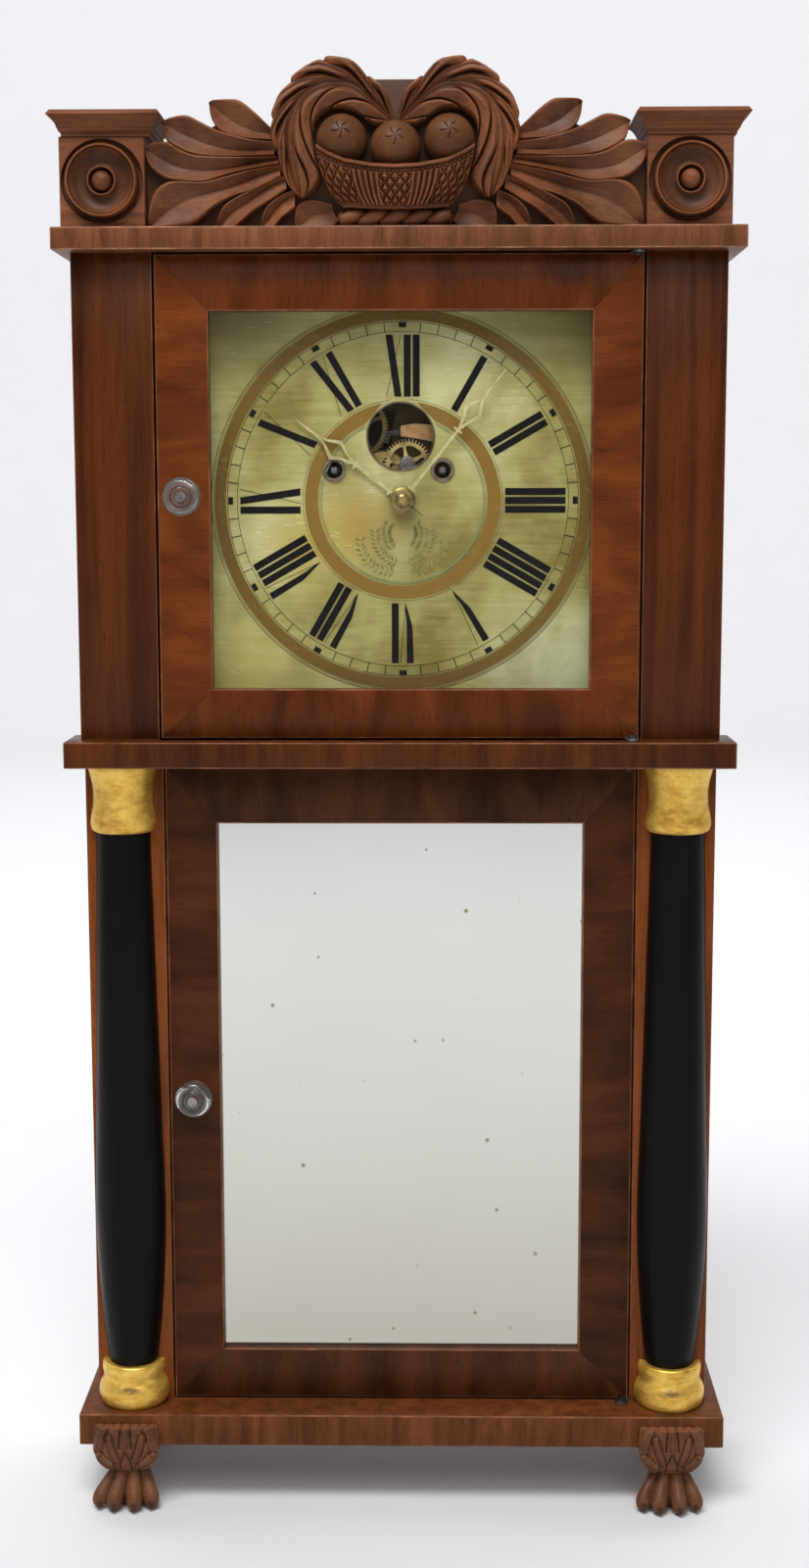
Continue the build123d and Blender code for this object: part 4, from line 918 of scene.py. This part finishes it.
# Acanthus leaves that curl round the fruit, fluted towards their lobed edges
leaf_outer = (
    (1, 947), (2.5, 958), (7, 968), (14.5, 974.5), (19.5, 979.5), (27, 985.6), (35.6, 988.2), (48.4, 988.2),
    (54, 985.2), (63.5, 979), (70.2, 972), (75.7, 964.7), (79.3, 956.2), (81.2, 947.7), (80.6, 938),
    (77.5, 928.3), (74.5, 918.6), (69.6, 907.6), (61.5, 899.8),
)
leaf_inner = (
    (1, 947), (8, 946), (13.7, 946.5), (19.8, 950.2), (29.5, 955.8), (40.5, 957), (48, 953), (52.6, 946.5),
    (53.5, 937), (51.5, 925), (49, 914), (52, 907.5), (57.5, 902.5), (61.5, 899.8),
)
leaf_fold = (
    (1, 947), (5, 951.5), (12.5, 958.7), (21, 966.6), (29.5, 971.4), (39.2, 972.4), (50.2, 970.2),
    (59.9, 964.7), (66.6, 952.6), (69, 938), (67.6, 923.4), (64.5, 909.5), (61.5, 899.8),
)
leaf_notches = ((19.8, 979.9), (49, 987.5), (70.2, 972), (81.2, 947.7), (76.9, 928.3))
leaf_body = 8.4
leaf_lobe = 3.2
leaf_flute = 1.2
leaf_cut = 2.4
leaf_notch = 0.34
leaf_roll = 3.0
leaf_vein = 1.1
outer_lift = 4.6
inner_lift = 3.4
inner_flute = 3.4
outer_slant = 0.28
inner_slant = 0.3
inner_lobes = 5.0


def tooth(t):
    """A slow rise and a quick fall, from 0 back to 0."""
    t -= math.floor(t)
    return soft(t, 0, 0.86) if t < 0.86 else soft(t, 1, -0.14)


def acanthus(shape):
    """The left and right leaf, each a fold with fluted halves and a notched outer edge."""
    count = 150
    outer, inner, fold = [curve(path, count) for path in (leaf_outer, leaf_inner, leaf_fold)]
    lobes = [(0.0, 0)]
    for notch in leaf_notches:
        nearest = min(range(count + 1), key=lambda k: (outer[k] - Vector(notch)).length)
        lobes.append((nearest / count, len(lobes)))
    lobes.append((1.0, len(lobes)))
    halves = [k / 24 for k in range(-24, 0)] + [k / 30 for k in range(0, 31)]
    rows = []
    for k in range(count + 1):
        u = k / count
        swell = soft(u, 0, 0.12) * (1 - 0.45 * soft(u, 0.8, 0.2))
        rows.append([])
        for v in halves:
            side = abs(v)
            if v > 0:
                phase = graph(lobes, u + outer_slant * (1 - side))
                notch = leaf_notch * bell(phase - round(phase), 0.09) * soft(side, 0.6, 0.4) * swell
                flute = leaf_lobe * tooth(phase) + leaf_flute * tooth(2 * phase)
                edge = outer[k]
                lift = outer_lift
            else:
                phase = inner_lobes * (u + inner_slant * (1 - side))
                notch = 0.0
                flute = inner_flute * tooth(phase)
                edge = inner[k]
                lift = inner_lift
            cut = leaf_cut * bell(phase - round(phase), 0.055)
            flute = (flute - cut) * soft(side, 0.1, 0.25) * swell
            roll = leaf_roll * soft(side, 0.9, 0.1)
            vein = leaf_vein * bell(side, 0.06)
            height = leaf_body + lift * side ** 1.1 * swell + flute - roll + vein
            rows[-1].append((fold[k].lerp(edge, side * (1 - notch)), height))
    relief(shape, rows)


# Basket: panels of diamond points between panels of flutes, under a rim that rolls over (rise and setback)
rim_curve = ((0, 918.4), (0.3, 919.2), (0.64, 922.6), (0.85, 927.5), (1.0, 932.5))
rim_roll = ((0, 0), (0.7, 0.9), (0.6, 3.0), (-0.6, 4.4), (-3.0, 5.2))
basket_under = 893.6
basket_half = ((0, 34), (0.1, 38), (0.25, 42.5), (0.5, 47.2), (0.75, 50), (1, 51.5))
basket_front = 24.5
basket_side = 17.0
flutes_from = 0.2
flutes_to = 0.575
flutes = 5
flute_tall = 3.0
diamond_rows = 7.0
diamond_tall = 4.2
rim_notch = 1.5
rim_notch_wide = 2.7
rim_lip = 2.2


def tri(t):
    """A saw-tooth wave from 0 to 1 and back."""
    return 1 - abs(2 * (t - math.floor(t)) - 1)


def basket_pattern(s, t):
    """Height of the woven pattern at a share across and up the basket."""
    side = abs(s)
    inside = soft(t, 0.02, 0.05) * soft(t, 0.84, -0.03)
    if flutes_from < side < flutes_to:
        flute = abs(math.sin(math.pi * flutes * (side - flutes_from) / (flutes_to - flutes_from)))
        return flute_tall * flute ** 0.7 * inside
    if side < flutes_from:
        step = side / flutes_from * 1.5
    else:
        step = (side - flutes_to) / (1 - flutes_to) * 3.5
    rise = t * diamond_rows
    return diamond_tall * min(tri(step + rise / 2), tri(step - rise / 2)) * inside


def rim_pattern(x, t):
    """Height of the rim: a row of small notches, a groove and a plain lip."""
    notches = rim_notch * tri(x / rim_notch_wide) * soft(t, 0.85, 0.02) * soft(t, 0.905, -0.02)
    return notches + rim_lip * soft(t, 0.925, 0.02) - 0.7 * soft(t, 0.98, 0.02)


def basket(shape):
    """The basket's bulging front with its rim, which rolls back behind the fruit."""
    cols = 200
    rows = 90
    grid = []
    for i in range(rows + len(rim_roll)):
        t = min(i / rows, 1.0)
        half = graph(basket_half, t)
        up, back = rim_roll[max(0, i - rows)]
        grid.append([])
        for j in range(cols + 1):
            s = 2 * j / cols - 1
            x = crest_x + s * half
            brim = graph(rim_curve, abs(s))
            z = mixed(basket_under - 1.5 * (1 - s * s), brim, t) + up
            bulge = mixed(basket_side, basket_front, (1 - s * s) ** 0.8 * (0.62 + 0.38 * t))
            rise = bulge + basket_pattern(s, t) + rim_pattern(s * half, t) - back
            grid[-1].append(((x, crest_ground - rise, z), (x, crest_ground + crest_sunk, min(z, brim - 3))))
    shape.slab(grid)


# Rope foot under the basket
foot_half = 37.5
foot_r = 5.7
foot_lobes = 5.0
foot_deep = 1.15
foot_y = crest_ground - 11.0


def rope(shape):
    """A twisted bar with rounded ends."""
    steps = 120
    rings = []
    for i in range(steps + 1):
        along = 2 * i / steps - 1
        end = math.sqrt(max(0.0, 1 - soft(abs(along), 0.93, 0.07) * 0.9))
        rings.append([])
        for a in turns(32):
            lobe = abs(math.sin(math.pi * (foot_lobes * (along + 1) / 2 - 0.25 * math.cos(a))))
            r = foot_r * end * (0.45 + 0.57 * lobe ** 0.45)
            z = slab_top + foot_r + r * math.cos(a)
            rings[-1].append((crest_x + foot_half * along, foot_y - foot_deep * r * math.sin(a), z))
    shape.tube(rings)


shape = Shape()
acanthus(shape)
basket(shape)
rope(shape)
shape.piece("crest_basket_carved", "crest_basket", carved_wood, angle=60)

# Three round fruits, each with a five-armed mark cut in it
fruit_r = 16.6
fruit_y = crest_ground - 6.5
fruit_places = ((-35.0, 937.0), (0, 933.0), (35.0, 937.0))
fruit_lean = math.radians(18)
fruit_arms = 5
fruit_cut = 1.5
fruit_lip = 0.35


def fruit(shape, x, z):
    """A ball with curved cuts that spread from a pole tilted up towards the viewer."""
    rings = []
    for i in range(41):
        turn = math.radians(0.4 + 3.6 * i)
        rings.append([])
        for a in turns(110):
            arm = math.cos(fruit_arms * (a + 1.15 * turn) / 2) ** 2
            deep = fruit_cut * arm ** 22 * soft(turn, 0.54, -0.2) * soft(turn, 0, 0.04)
            r = fruit_r - deep + fruit_lip * arm ** 7 * soft(turn, 0.6, -0.25)
            flat = r * math.sin(turn)
            ahead = r * math.cos(turn)
            up = flat * math.sin(a)
            y = -(ahead * math.cos(fruit_lean) - up * math.sin(fruit_lean))
            rise = ahead * math.sin(fruit_lean) + up * math.cos(fruit_lean)
            rings[-1].append((x + flat * math.cos(a), fruit_y + y, z + rise))
    shape.tube(rings)


shape = Shape()
for x, z in fruit_places:
    fruit(shape, crest_x + x, z)
shape.piece("crest_fruit_carved", "crest_fruit", fruit_wood, angle=70)


# Paw feet: a leafy knee that laps the base board, an ankle and four toes

base_low = place("base_board")[0]
paw_places = (-193.0, 189.8)
front_edge = base_low.y
knee_sunk = 0.4
knee_thin = 0.8
ankle_z = 29.1
knee_half = 23.0
knee_top = place("paw_feet")[1].z
knee_curve = ((0, 0.65), (0.12, 0.8), (0.28, 0.95), (0.5, 1.0), (0.7, 0.99), (1, 0.945))
knee_depth = ((0, 5.0), (0.15, 8.2), (0.4, 10.6), (0.7, 11.0), (1, 9.0))

# Carving of the knee, sideways and up from its foot: raised leaves with half width and height, and cuts
knee_leaves = (
    ((7.0, 9.0), (12.2, 25.5), 1.6, 1.3), ((21.2, 14), (16.8, 31), 2.4, 1.4),
    ((12.5, 3.5), (19.5, 11), 2.2, 1.0),
)
knee_cuts = (((0, 16), (6.6, 0)), ((3.4, 32.4), (4.6, 18)), ((9.8, 5.5), (13, 0)))
knee_cut = 1.4
knee_rib = 0.9
leaf_ring = 1.1
leaf_slit = 0.7


def off_line(p, a, b):
    """How far p lies from the straight line between two points."""
    a = Vector(a)
    along = Vector(b) - a
    share = min(max((p - a).dot(along) / along.length_squared, 0.0), 1.0)
    return (p - a - along * share).length


def knee_relief(s, t):
    """Height of the carving at a share across and up the knee."""
    p = Vector((abs(s) * knee_half, t * (knee_top - ankle_z)))
    rise = knee_rib * bell(p.x, 0.9) * soft(p.y, 12, 6)
    for foot, top, half, tall in knee_leaves:
        away = off_line(p, foot, top) / half
        rise += tall * bell(away, 1) - leaf_ring * bell(away - 1.75, 0.55) - leaf_slit * bell(away, 0.25)
    for foot, top in knee_cuts:
        rise -= knee_cut * bell(off_line(p, foot, top), 0.8)
    return rise


def knee(shape, x):
    """Leaves that spread upwards from the ankle, with a ragged upper edge."""
    cols = 110
    rows = 80
    grid = []
    for i in range(rows + 1):
        t = i / rows
        half = knee_half * graph(knee_curve, t)
        grid.append([])
        for j in range(cols + 1):
            s = 2 * j / cols - 1
            z = mixed(ankle_z, knee_top, t) - 1.1 * tri(3.5 * s) ** 2 * soft(t, 0.8, 0.2)
            round_off = math.sqrt(max(0.0, 1 - 0.72 * s * s))
            deep = max(graph(knee_depth, t) * round_off + knee_relief(s, t), knee_thin)
            grid[-1].append(((x + s * half, front_edge - deep, z), (x + s * half, front_edge + knee_sunk, z)))
    shape.slab(grid)


def oval(x, y, z, wide, deep, steps=28):
    """A level oval ring."""
    return [(x + wide * math.cos(a), y + deep * math.sin(a), z) for a in turns(steps)]


# Depth, height and radius along a toe and its claw; each toe's root and tip, sideways, and its setback
toe_path = (
    (-46.0, 44.0, 4.2), (-48.2, 36.0, 4.4), (-51.0, 27.0, 4.7), (-54.6, 19.0, 5.6), (-58.6, 12.6, 6.6),
    (-62.4, 8.6, 6.7), (-65.4, 6.0, 5.6), (-67.4, 4.0, 2.6),
)
claw_path = ((-64.0, 10.4, 1.3), (-66.2, 8.8, 1.9), (-67.9, 6.2, 2.0), (-68.3, 3.6, 1.2))
toe_flat = 0.88
toe_places = ((-7.6, -19.4, 5.0), (-2.8, -8.6, 0.4), (3.4, 5.6, 0.0), (8.4, 17.4, 4.4))


def toe(shape, claws, x, root, tip, back):
    """One toe from the ankle over its knuckle to its tip, with a short claw."""
    count = 26
    rings = []
    for k, p in enumerate(curve(toe_path, count)):
        u = k / count
        toe_x = x + mixed(root, tip, soft(u, 0.25, 0.7))
        tilt = math.radians(mixed(-62, -25, u))
        rings.append([])
        for a in turns(20):
            out = p.z * math.sin(a)
            z = max(p.y + out * math.cos(tilt), 0.0)
            rings[-1].append((toe_x + toe_flat * p.z * math.cos(a), p.x + back + out * math.sin(tilt), z))
    shape.tube(rings)
    claws.tube([oval(x + tip, y + back, z, r, r, 14) for y, z, r in claw_path])


# Heel and ankle: height, half width, half depth and depth of the middle
heel = (
    (0, 16.5, 12.0, -41), (3, 18.5, 14.0, -41.5), (10, 17.0, 14.0, -40), (20, 13.5, 13.0, -38),
    (30, 12.6, 13.5, -35.5), (38, 14.5, 17.0, -35), (base_low.z, 16.5, 18.0, -35),
)
toes = Shape()
claws = Shape()
knees = Shape()
for x in paw_places:
    toes.tube([oval(x, y, z, wide, deep) for z, wide, deep, y in heel])
    for root, tip, back in toe_places:
        toe(toes, claws, x, root, tip, back)
    knee(knees, x)
piece("paw_toes_carved", fused("paw_toes", toes, paw_wood, voxel=0.6, rounds=2), "paw_feet")
claws.piece("paw_claws_carved", None, claw_wood, angle=60)
knees.piece("paw_knees_carved", None, paw_wood, angle=60)

# Glass knobs: shares of the radius and of the length
knob_profile = (
    (0.19, 0), (0.66, 0), (0.68, 0.04), (0.6, 0.12), (0.5, 0.2), (0.48, 0.28), (0.55, 0.38), (0.74, 0.46),
    (0.92, 0.54), (0.99, 0.62), (1.0, 0.68), (0.985, 0.75), (0.93, 0.82), (0.84, 0.875), (0.76, 0.9),
    (0.7, 0.895), (0.64, 0.87), (0.59, 0.885), (0.55, 0.93), (0.48, 0.985), (0.4, 1.0), (0.33, 0.98),
    (0.29, 0.93), (0.2, 0.93),
)
for name, body in (("upper_knob", "upper_latch_set"), ("lower_knob", "lower_latch_set")):
    low, high = place(name)
    radius = (high.x - low.x) / 2
    section = curve([(radius * a, mixed(high.y, low.y, b)) for a, b in knob_profile], 60)
    shape = Shape()
    shape.hoop(*middle(name), section, 56)
    shape.piece(name + "_pressed", name, knob_clear, angle=40, body=body, slot="knob_glass")


# Wheels seen through the opening of the dial, with teeth, a rim and spokes

gear_tooth = (0.08, 0.23)
escape_tooth = (0.1, 0.3)


def teeth_at(x, z, teeth, tip, root, widths, phase):
    """Outline of a toothed wheel: half widths of its teeth at the tip and the root, as shares of a step."""
    outline = []
    for k in range(teeth):
        for share, r in ((-widths[1], root), (-widths[0], tip), (widths[0], tip), (widths[1], root)):
            a = phase + 2 * math.pi * (k + share) / teeth
            outline.append((x + r * math.cos(a), z + r * math.sin(a)))
    return outline


def spoked(shape, x, z, near, far, outline, rim_in, hub, spokes, turn):
    """A rim with the given outline, tapered spokes and a hub, between two levels."""
    rings = []
    for p in outline:
        aim = (Vector(p) - Vector((x, z))).normalized() * rim_in
        q = (x + aim.x, z + aim.y)
        rings.append([(p[0], near, p[1]), (q[0], near, q[1]), (q[0], far, q[1]), (p[0], far, p[1])])
    shape.tube(rings, 0, True)
    ends = [(hub - 0.4, 1.7), (rim_in - 1.6, 0.9), (rim_in + 0.4, 2.0)]
    for a in turns(spokes):
        out = Vector((math.cos(turn + a), math.sin(turn + a)))
        side = Vector((out.y, -out.x))
        path = [out * r + side * wide for r, wide in ends]
        path += [out * r - side * wide for r, wide in ends[::-1]]
        shape.prism([(x + p.x, z + p.y) for p in path], near + 0.05, far - 0.05)
    shape.turned(x, z, ((0.7, far), (hub, far), (hub, near), (0.7, near)), 40)


def aim_at(part, x, z):
    """The angle from a place to the middle of a CAD node, seen from the front."""
    part_x, part_z = middle(part)
    return math.atan2(part_z - z, part_x - x)


def escape_wheel():
    """The escape wheel with its pinion behind and a steel disc in front."""
    low, high = place("escape_wheel")
    x, z = middle("escape_wheel")
    near = low.y + 1.0
    far = near + 1.2
    shape = Shape()
    outline = teeth_at(x, z, teeth=42, tip=17.0, root=14.6, widths=escape_tooth, phase=0.0)
    spoked(shape, x, z, near, far, outline, rim_in=12.2, hub=3.2, spokes=5, turn=1.75)
    mesh_at = aim_at("third_wheel", x, z) + math.pi / 6
    pinion = teeth_at(x, z, teeth=6, tip=1.9, root=0.9, widths=gear_tooth, phase=mesh_at)
    shape.prism(pinion, far, high.y)
    disc = ((0.7, low.y), (5.2, low.y), (5.4, low.y + 0.2), (5.4, near), (0.7, near))
    shape.turned(x, z, disc, 40, 1)
    shape.piece("escape_wheel_spoked", "escape_wheel", gear_brass, steel, body="escape_arbor", slot="brass")


def pin_wheel():
    """The pin wheel on its steel arbor, with its pinion in front."""
    low, high = place("pin_wheel")
    x, z = middle("pin_wheel")
    near = high.y - 8.5
    shape = Shape()
    outline = teeth_at(x, z, teeth=60, tip=23.1, root=21.6, widths=gear_tooth, phase=aim_at("fly", x, z))
    spoked(shape, x, z, near, near + 1.5, outline, rim_in=18.6, hub=4.5, spokes=4, turn=0.35)
    mesh_at = aim_at("strike_drum", x, z) + math.pi / 10
    pinion = teeth_at(x, z, teeth=10, tip=5.1, root=3.35, widths=gear_tooth, phase=mesh_at)
    pinion_near = low.y + 4.2
    shape.prism(pinion, pinion_near, pinion_near + 4.0)
    shape.turned(x, z, ((0.05, low.y), (1.2, low.y), (1.2, high.y), (0.05, high.y)), 24, 1)
    shape.piece("pin_wheel_spoked", "pin_wheel", gear_brass, steel, body="pin_arbor", slot="brass")


escape_wheel()
pin_wheel()

# Rings round the dial's openings: place from its centre, bore, edge of the metal, radius of the opening
aperture = Vector((-1.3, 43.1))
ring_places = ((*aperture, 22.1, 23.4, 24.4), (-46.5, 20.5, 5.5, 8.2, 9.0), (27.0, 20.5, 5.5, 8.2, 9.0))
ring_front = dial_face - 1.1
shape = Shape()
for x, z, bore, edge, hole in ring_places:
    section = (
        (bore, dial_high.y), (bore, ring_front + 0.5), (bore + 0.35, ring_front),
        (edge - 0.3, ring_front + 0.1), (edge, ring_front + 0.4), (edge, dial_face - 0.12),
        (hole + 0.6, dial_face - 0.06), (hole - 0.3, dial_face + 0.3), (hole - 0.3, dial_high.y),
    )
    shape.hoop(dial_x + x, dial_z + z, section, 96, (0, 0, 0, 0, 0, 1, 1, 1, 0))
shape.piece("dial_rings_thin", "dial_rings", dull_steel, dial_ground, slot="steel")

# A taper pin through the nut that holds the hands
pin_level = place("hand_nut")[0].y + 1.4
pin_tail = Vector((14.0, -10.4))
pin_head = Vector((-4.0, 3.0))
pin_steps = 12
shape = Shape()
rings = []
for k in range(pin_steps + 1):
    p = pin_head.lerp(pin_tail, k / pin_steps)
    r = mixed(0.75, 0.3, k / pin_steps)
    rings.append(oval(dial_x + p.x, pin_level, dial_z + p.y, r, r, 10))
shape.tube(rings)
shape.piece("hand_pin", None, iron, body="minute_set", slot="steel")


# Print on the dial: bands, minute track and numerals, a film in front of the paint

film_back = dial_face - 0.02
film_front = dial_face - 0.16
aperture_r = 25.2
INK, OCHRE, LINE, GREEN, FAINT, UMBER = range(6)
inks = (
    print_ink("print_black", (0.006, 0.0056, 0.005), (0.035, 0.03, 0.016), 0.64),
    print_ink("print_ochre", (0.25, 0.142, 0.026), (0.34, 0.23, 0.06), 0.56),
    print_ink("print_line", (0.05, 0.042, 0.016), (0.3, 0.27, 0.1), 0.54),
    print_ink("print_green", (0.2, 0.24, 0.11), (0.36, 0.36, 0.15), 0.5),
    print_ink("print_faint", (0.2, 0.175, 0.058), (0.36, 0.33, 0.12), 0.46),
    print_ink("print_umber", (0.185, 0.108, 0.022), (0.27, 0.19, 0.055), 0.56),
)
dial_print = Shape()


def band(r0, r1, finish, steps=180):
    """A ring of the print, cut away where the round opening lies."""
    lean = math.atan2(aperture.x, aperture.y)
    far = aperture.length
    starts = []
    for r in (r0, r1):
        reach = (far * far + r * r - aperture_r * aperture_r) / (2 * far * r)
        starts.append(math.acos(reach) if abs(reach) < 1 else 0.0)
    whole = starts[0] == starts[1] == 0.0
    ends = [(r0, starts[0]), (r1, starts[1])]
    corners = [(*end, film_front) for end in ends] + [(*end, film_back) for end in ends[::-1]]
    rings = []
    for k in range(steps if whole else steps + 1):
        rings.append([])
        for r, start, y in corners:
            turn = lean + mixed(start, 2 * math.pi - start, k / steps)
            rings[-1].append((dial_x + r * math.sin(turn), y, dial_z + r * math.cos(turn)))
    dial_print.tube(rings, finish, whole)


def stroke(turn, points, finish=INK):
    """A flat shape of the print, drawn upright at the top of the dial and turned to its hour."""
    outline = []
    for x, r in points:
        across_x = x * math.cos(turn) + r * math.sin(turn)
        up = r * math.cos(turn) - x * math.sin(turn)
        outline.append((dial_x + across_x, dial_z + up))
    dial_print.prism(outline, film_front, film_back, finish)


numeral_low = 69.5
numeral_high = 110.5
bar = 4.8
hair = 0.4
advance = {"I": 6.0, "V": 10.5, "X": 12.5}


def line(x0, x1, wide):
    """A straight stroke from its foot to its top."""
    half = wide / 2
    foot = ((x0 - half, numeral_low), (x0 + half, numeral_low))
    return (*foot, (x1 + half, numeral_high), (x1 - half, numeral_high))


def numeral(word, turn):
    """Roman figures with heavy and hair strokes, their feet to the centre."""
    x = -sum(advance[c] for c in word) / 2
    for c in word:
        wide = advance[c]
        if c == "I":
            stroke(turn, line(x + wide / 2, x + wide / 2, bar))
        elif c == "V":
            top = x + 0.8
            foot = x + wide * 0.6
            bend = numeral_low + 13
            stroke(turn, (
                (foot, numeral_low), (foot + 0.4, numeral_low + 4), (foot - 0.5, bend),
                (top + bar, numeral_high), (top, numeral_high), (foot - 4.6, bend + 3),
            ))
            stroke(turn, line(foot + 0.1, x + wide - 0.6, hair))
        else:
            stroke(turn, line(x + wide - 0.8 - bar / 2, x + 0.8 + bar / 2, bar))
            stroke(turn, line(x + 1.4, x + wide - 1.4, hair))
        x += wide


def sprig(side, stops):
    """A curved stem with small leaves on both sides."""
    count = 12
    stem = curve(stops, count)
    for k in range(1, count):
        p = stem[k]
        along = (stem[k + 1] - stem[k - 1]).normalized()
        for way in SIDES:
            out = (along + way * 1.3 * Vector((along.y, -along.x))).normalized()
            cross = Vector((out.y, -out.x))
            leaf = (p, p + out * 2.4 + cross * 0.9, p + out * 5.2, p + out * 2.4 - cross * 0.9)
            stroke(0, [(side * q.x, q.y) for q in leaf], FAINT)


for r0, r1, finish in (
    (120.2, 128.0, UMBER), (57.5, 66.5, OCHRE), (129.8, 130.3, LINE), (128.6, 128.9, LINE),
    (119.0, 119.5, LINE), (112.3, 112.7, LINE), (67.6, 67.9, LINE), (56.4, 56.7, LINE), (54.8, 55.7, GREEN),
):
    band(r0, r1, finish)
hours = ("XII", "I", "II", "III", "IIII", "V", "VI", "VII", "VIII", "IX", "X", "XI")
for k, word in enumerate(hours):
    numeral(word, math.radians(30 * k))
for k in range(60):
    mark = rectangle(-0.3, 112.6, 0.3, 119.1) if k % 5 else rectangle(-2.55, 115.4, 2.55, 118.7)
    stroke(math.radians(6 * k), mark)

# A faint spray of plain leaves under the hands
for side in SIDES:
    sprig(side, ((3, -49), (17, -46), (27, -36), (29, -24)))
    sprig(side, ((2, -44), (12, -38), (18, -29), (19, -19)))
    sprig(side, ((6, -34), (10, -27), (11, -21), (9, -15)))
dial_print.piece("dial_print", None, *inks, slot="dial_paint")


# Stage in metres: pale paper laid as a wide dish, a floor that sweeps up into a wall all round

dish_r = 6.0
sweep_r = 1.5
dish_top = 4.6
dish_steps = 96
sweep_steps = 16
profile = [(r, 0.0) for r in (0.4, 1.5, 3.0, dish_r - sweep_r)]
for k in range(1, sweep_steps + 1):
    a = math.pi / 2 * k / sweep_steps
    profile.append((dish_r - sweep_r + sweep_r * math.sin(a), sweep_r - sweep_r * math.cos(a)))
profile.append((dish_r, dish_top))
corners = [(r * math.cos(a), r * math.sin(a), z) for r, z in profile for a in turns(dish_steps)]
sheets = [tuple(range(dish_steps))]
for low in range(0, len(corners) - dish_steps, dish_steps):
    high = low + dish_steps
    for k in range(dish_steps):
        n = (k + 1) % dish_steps
        sheets.append((low + k, high + k, high + n, low + n))
paper = bpy.data.meshes.new("paper")
paper.from_pydata(corners, [], sheets)
paper.materials.append(studio("paper", (0.73, 0.735, 0.752)))
paper.shade_smooth()
floor = shown("floor", paper)


# Light: a soft box above and to the left, wide ones over the floor in front and behind, and dim air

def lamp(name, at, target, wide, tall, power):
    """A soft box aimed at a place."""
    light = bpy.data.lights.new(name, "AREA")
    light.shape = "RECTANGLE"
    light.size = wide
    light.size_y = tall
    light.energy = power
    holder = shown(name, light)
    holder.location = at
    holder.rotation_euler = (Vector(target) - Vector(at)).to_track_quat("-Z", "Y").to_euler()


lamp("key_lamp", (-0.5, -1.6, 3.4), (0, 0, 0.55), wide=2.0, tall=1.0, power=104)
lamp("floor_lamp", (0.4, -3.0, 2.7), (0.2, -2.3, 0), wide=2.4, tall=1.6, power=36)
lamp("rear_lamp", (0, 2.0, 3.8), (0, 4.2, 0.6), wide=6.0, tall=3.0, power=195)
world = bpy.data.worlds.new("air")
world.use_nodes = True
feed(world.node_tree.nodes["Background"], {"Color": (0.95, 0.97, 1.0, 1), "Strength": 0.14})
bpy.context.scene.world = world
bpy.context.scene.view_settings.view_transform = "Standard"

# Camera at the photograph's angle
camera = bpy.data.cameras.new("camera")
camera.lens = 47.48
camera.sensor_width = 36.0
camera.clip_start = 0.05
eye = shown("camera", camera)
eye.location = (0.02573, -1.4324, 0.7042)
eye.rotation_euler = (math.radians(82.21), math.radians(0.1), math.radians(0.91))
bpy.context.scene.camera = eye

bpy.context.view_layer.update()
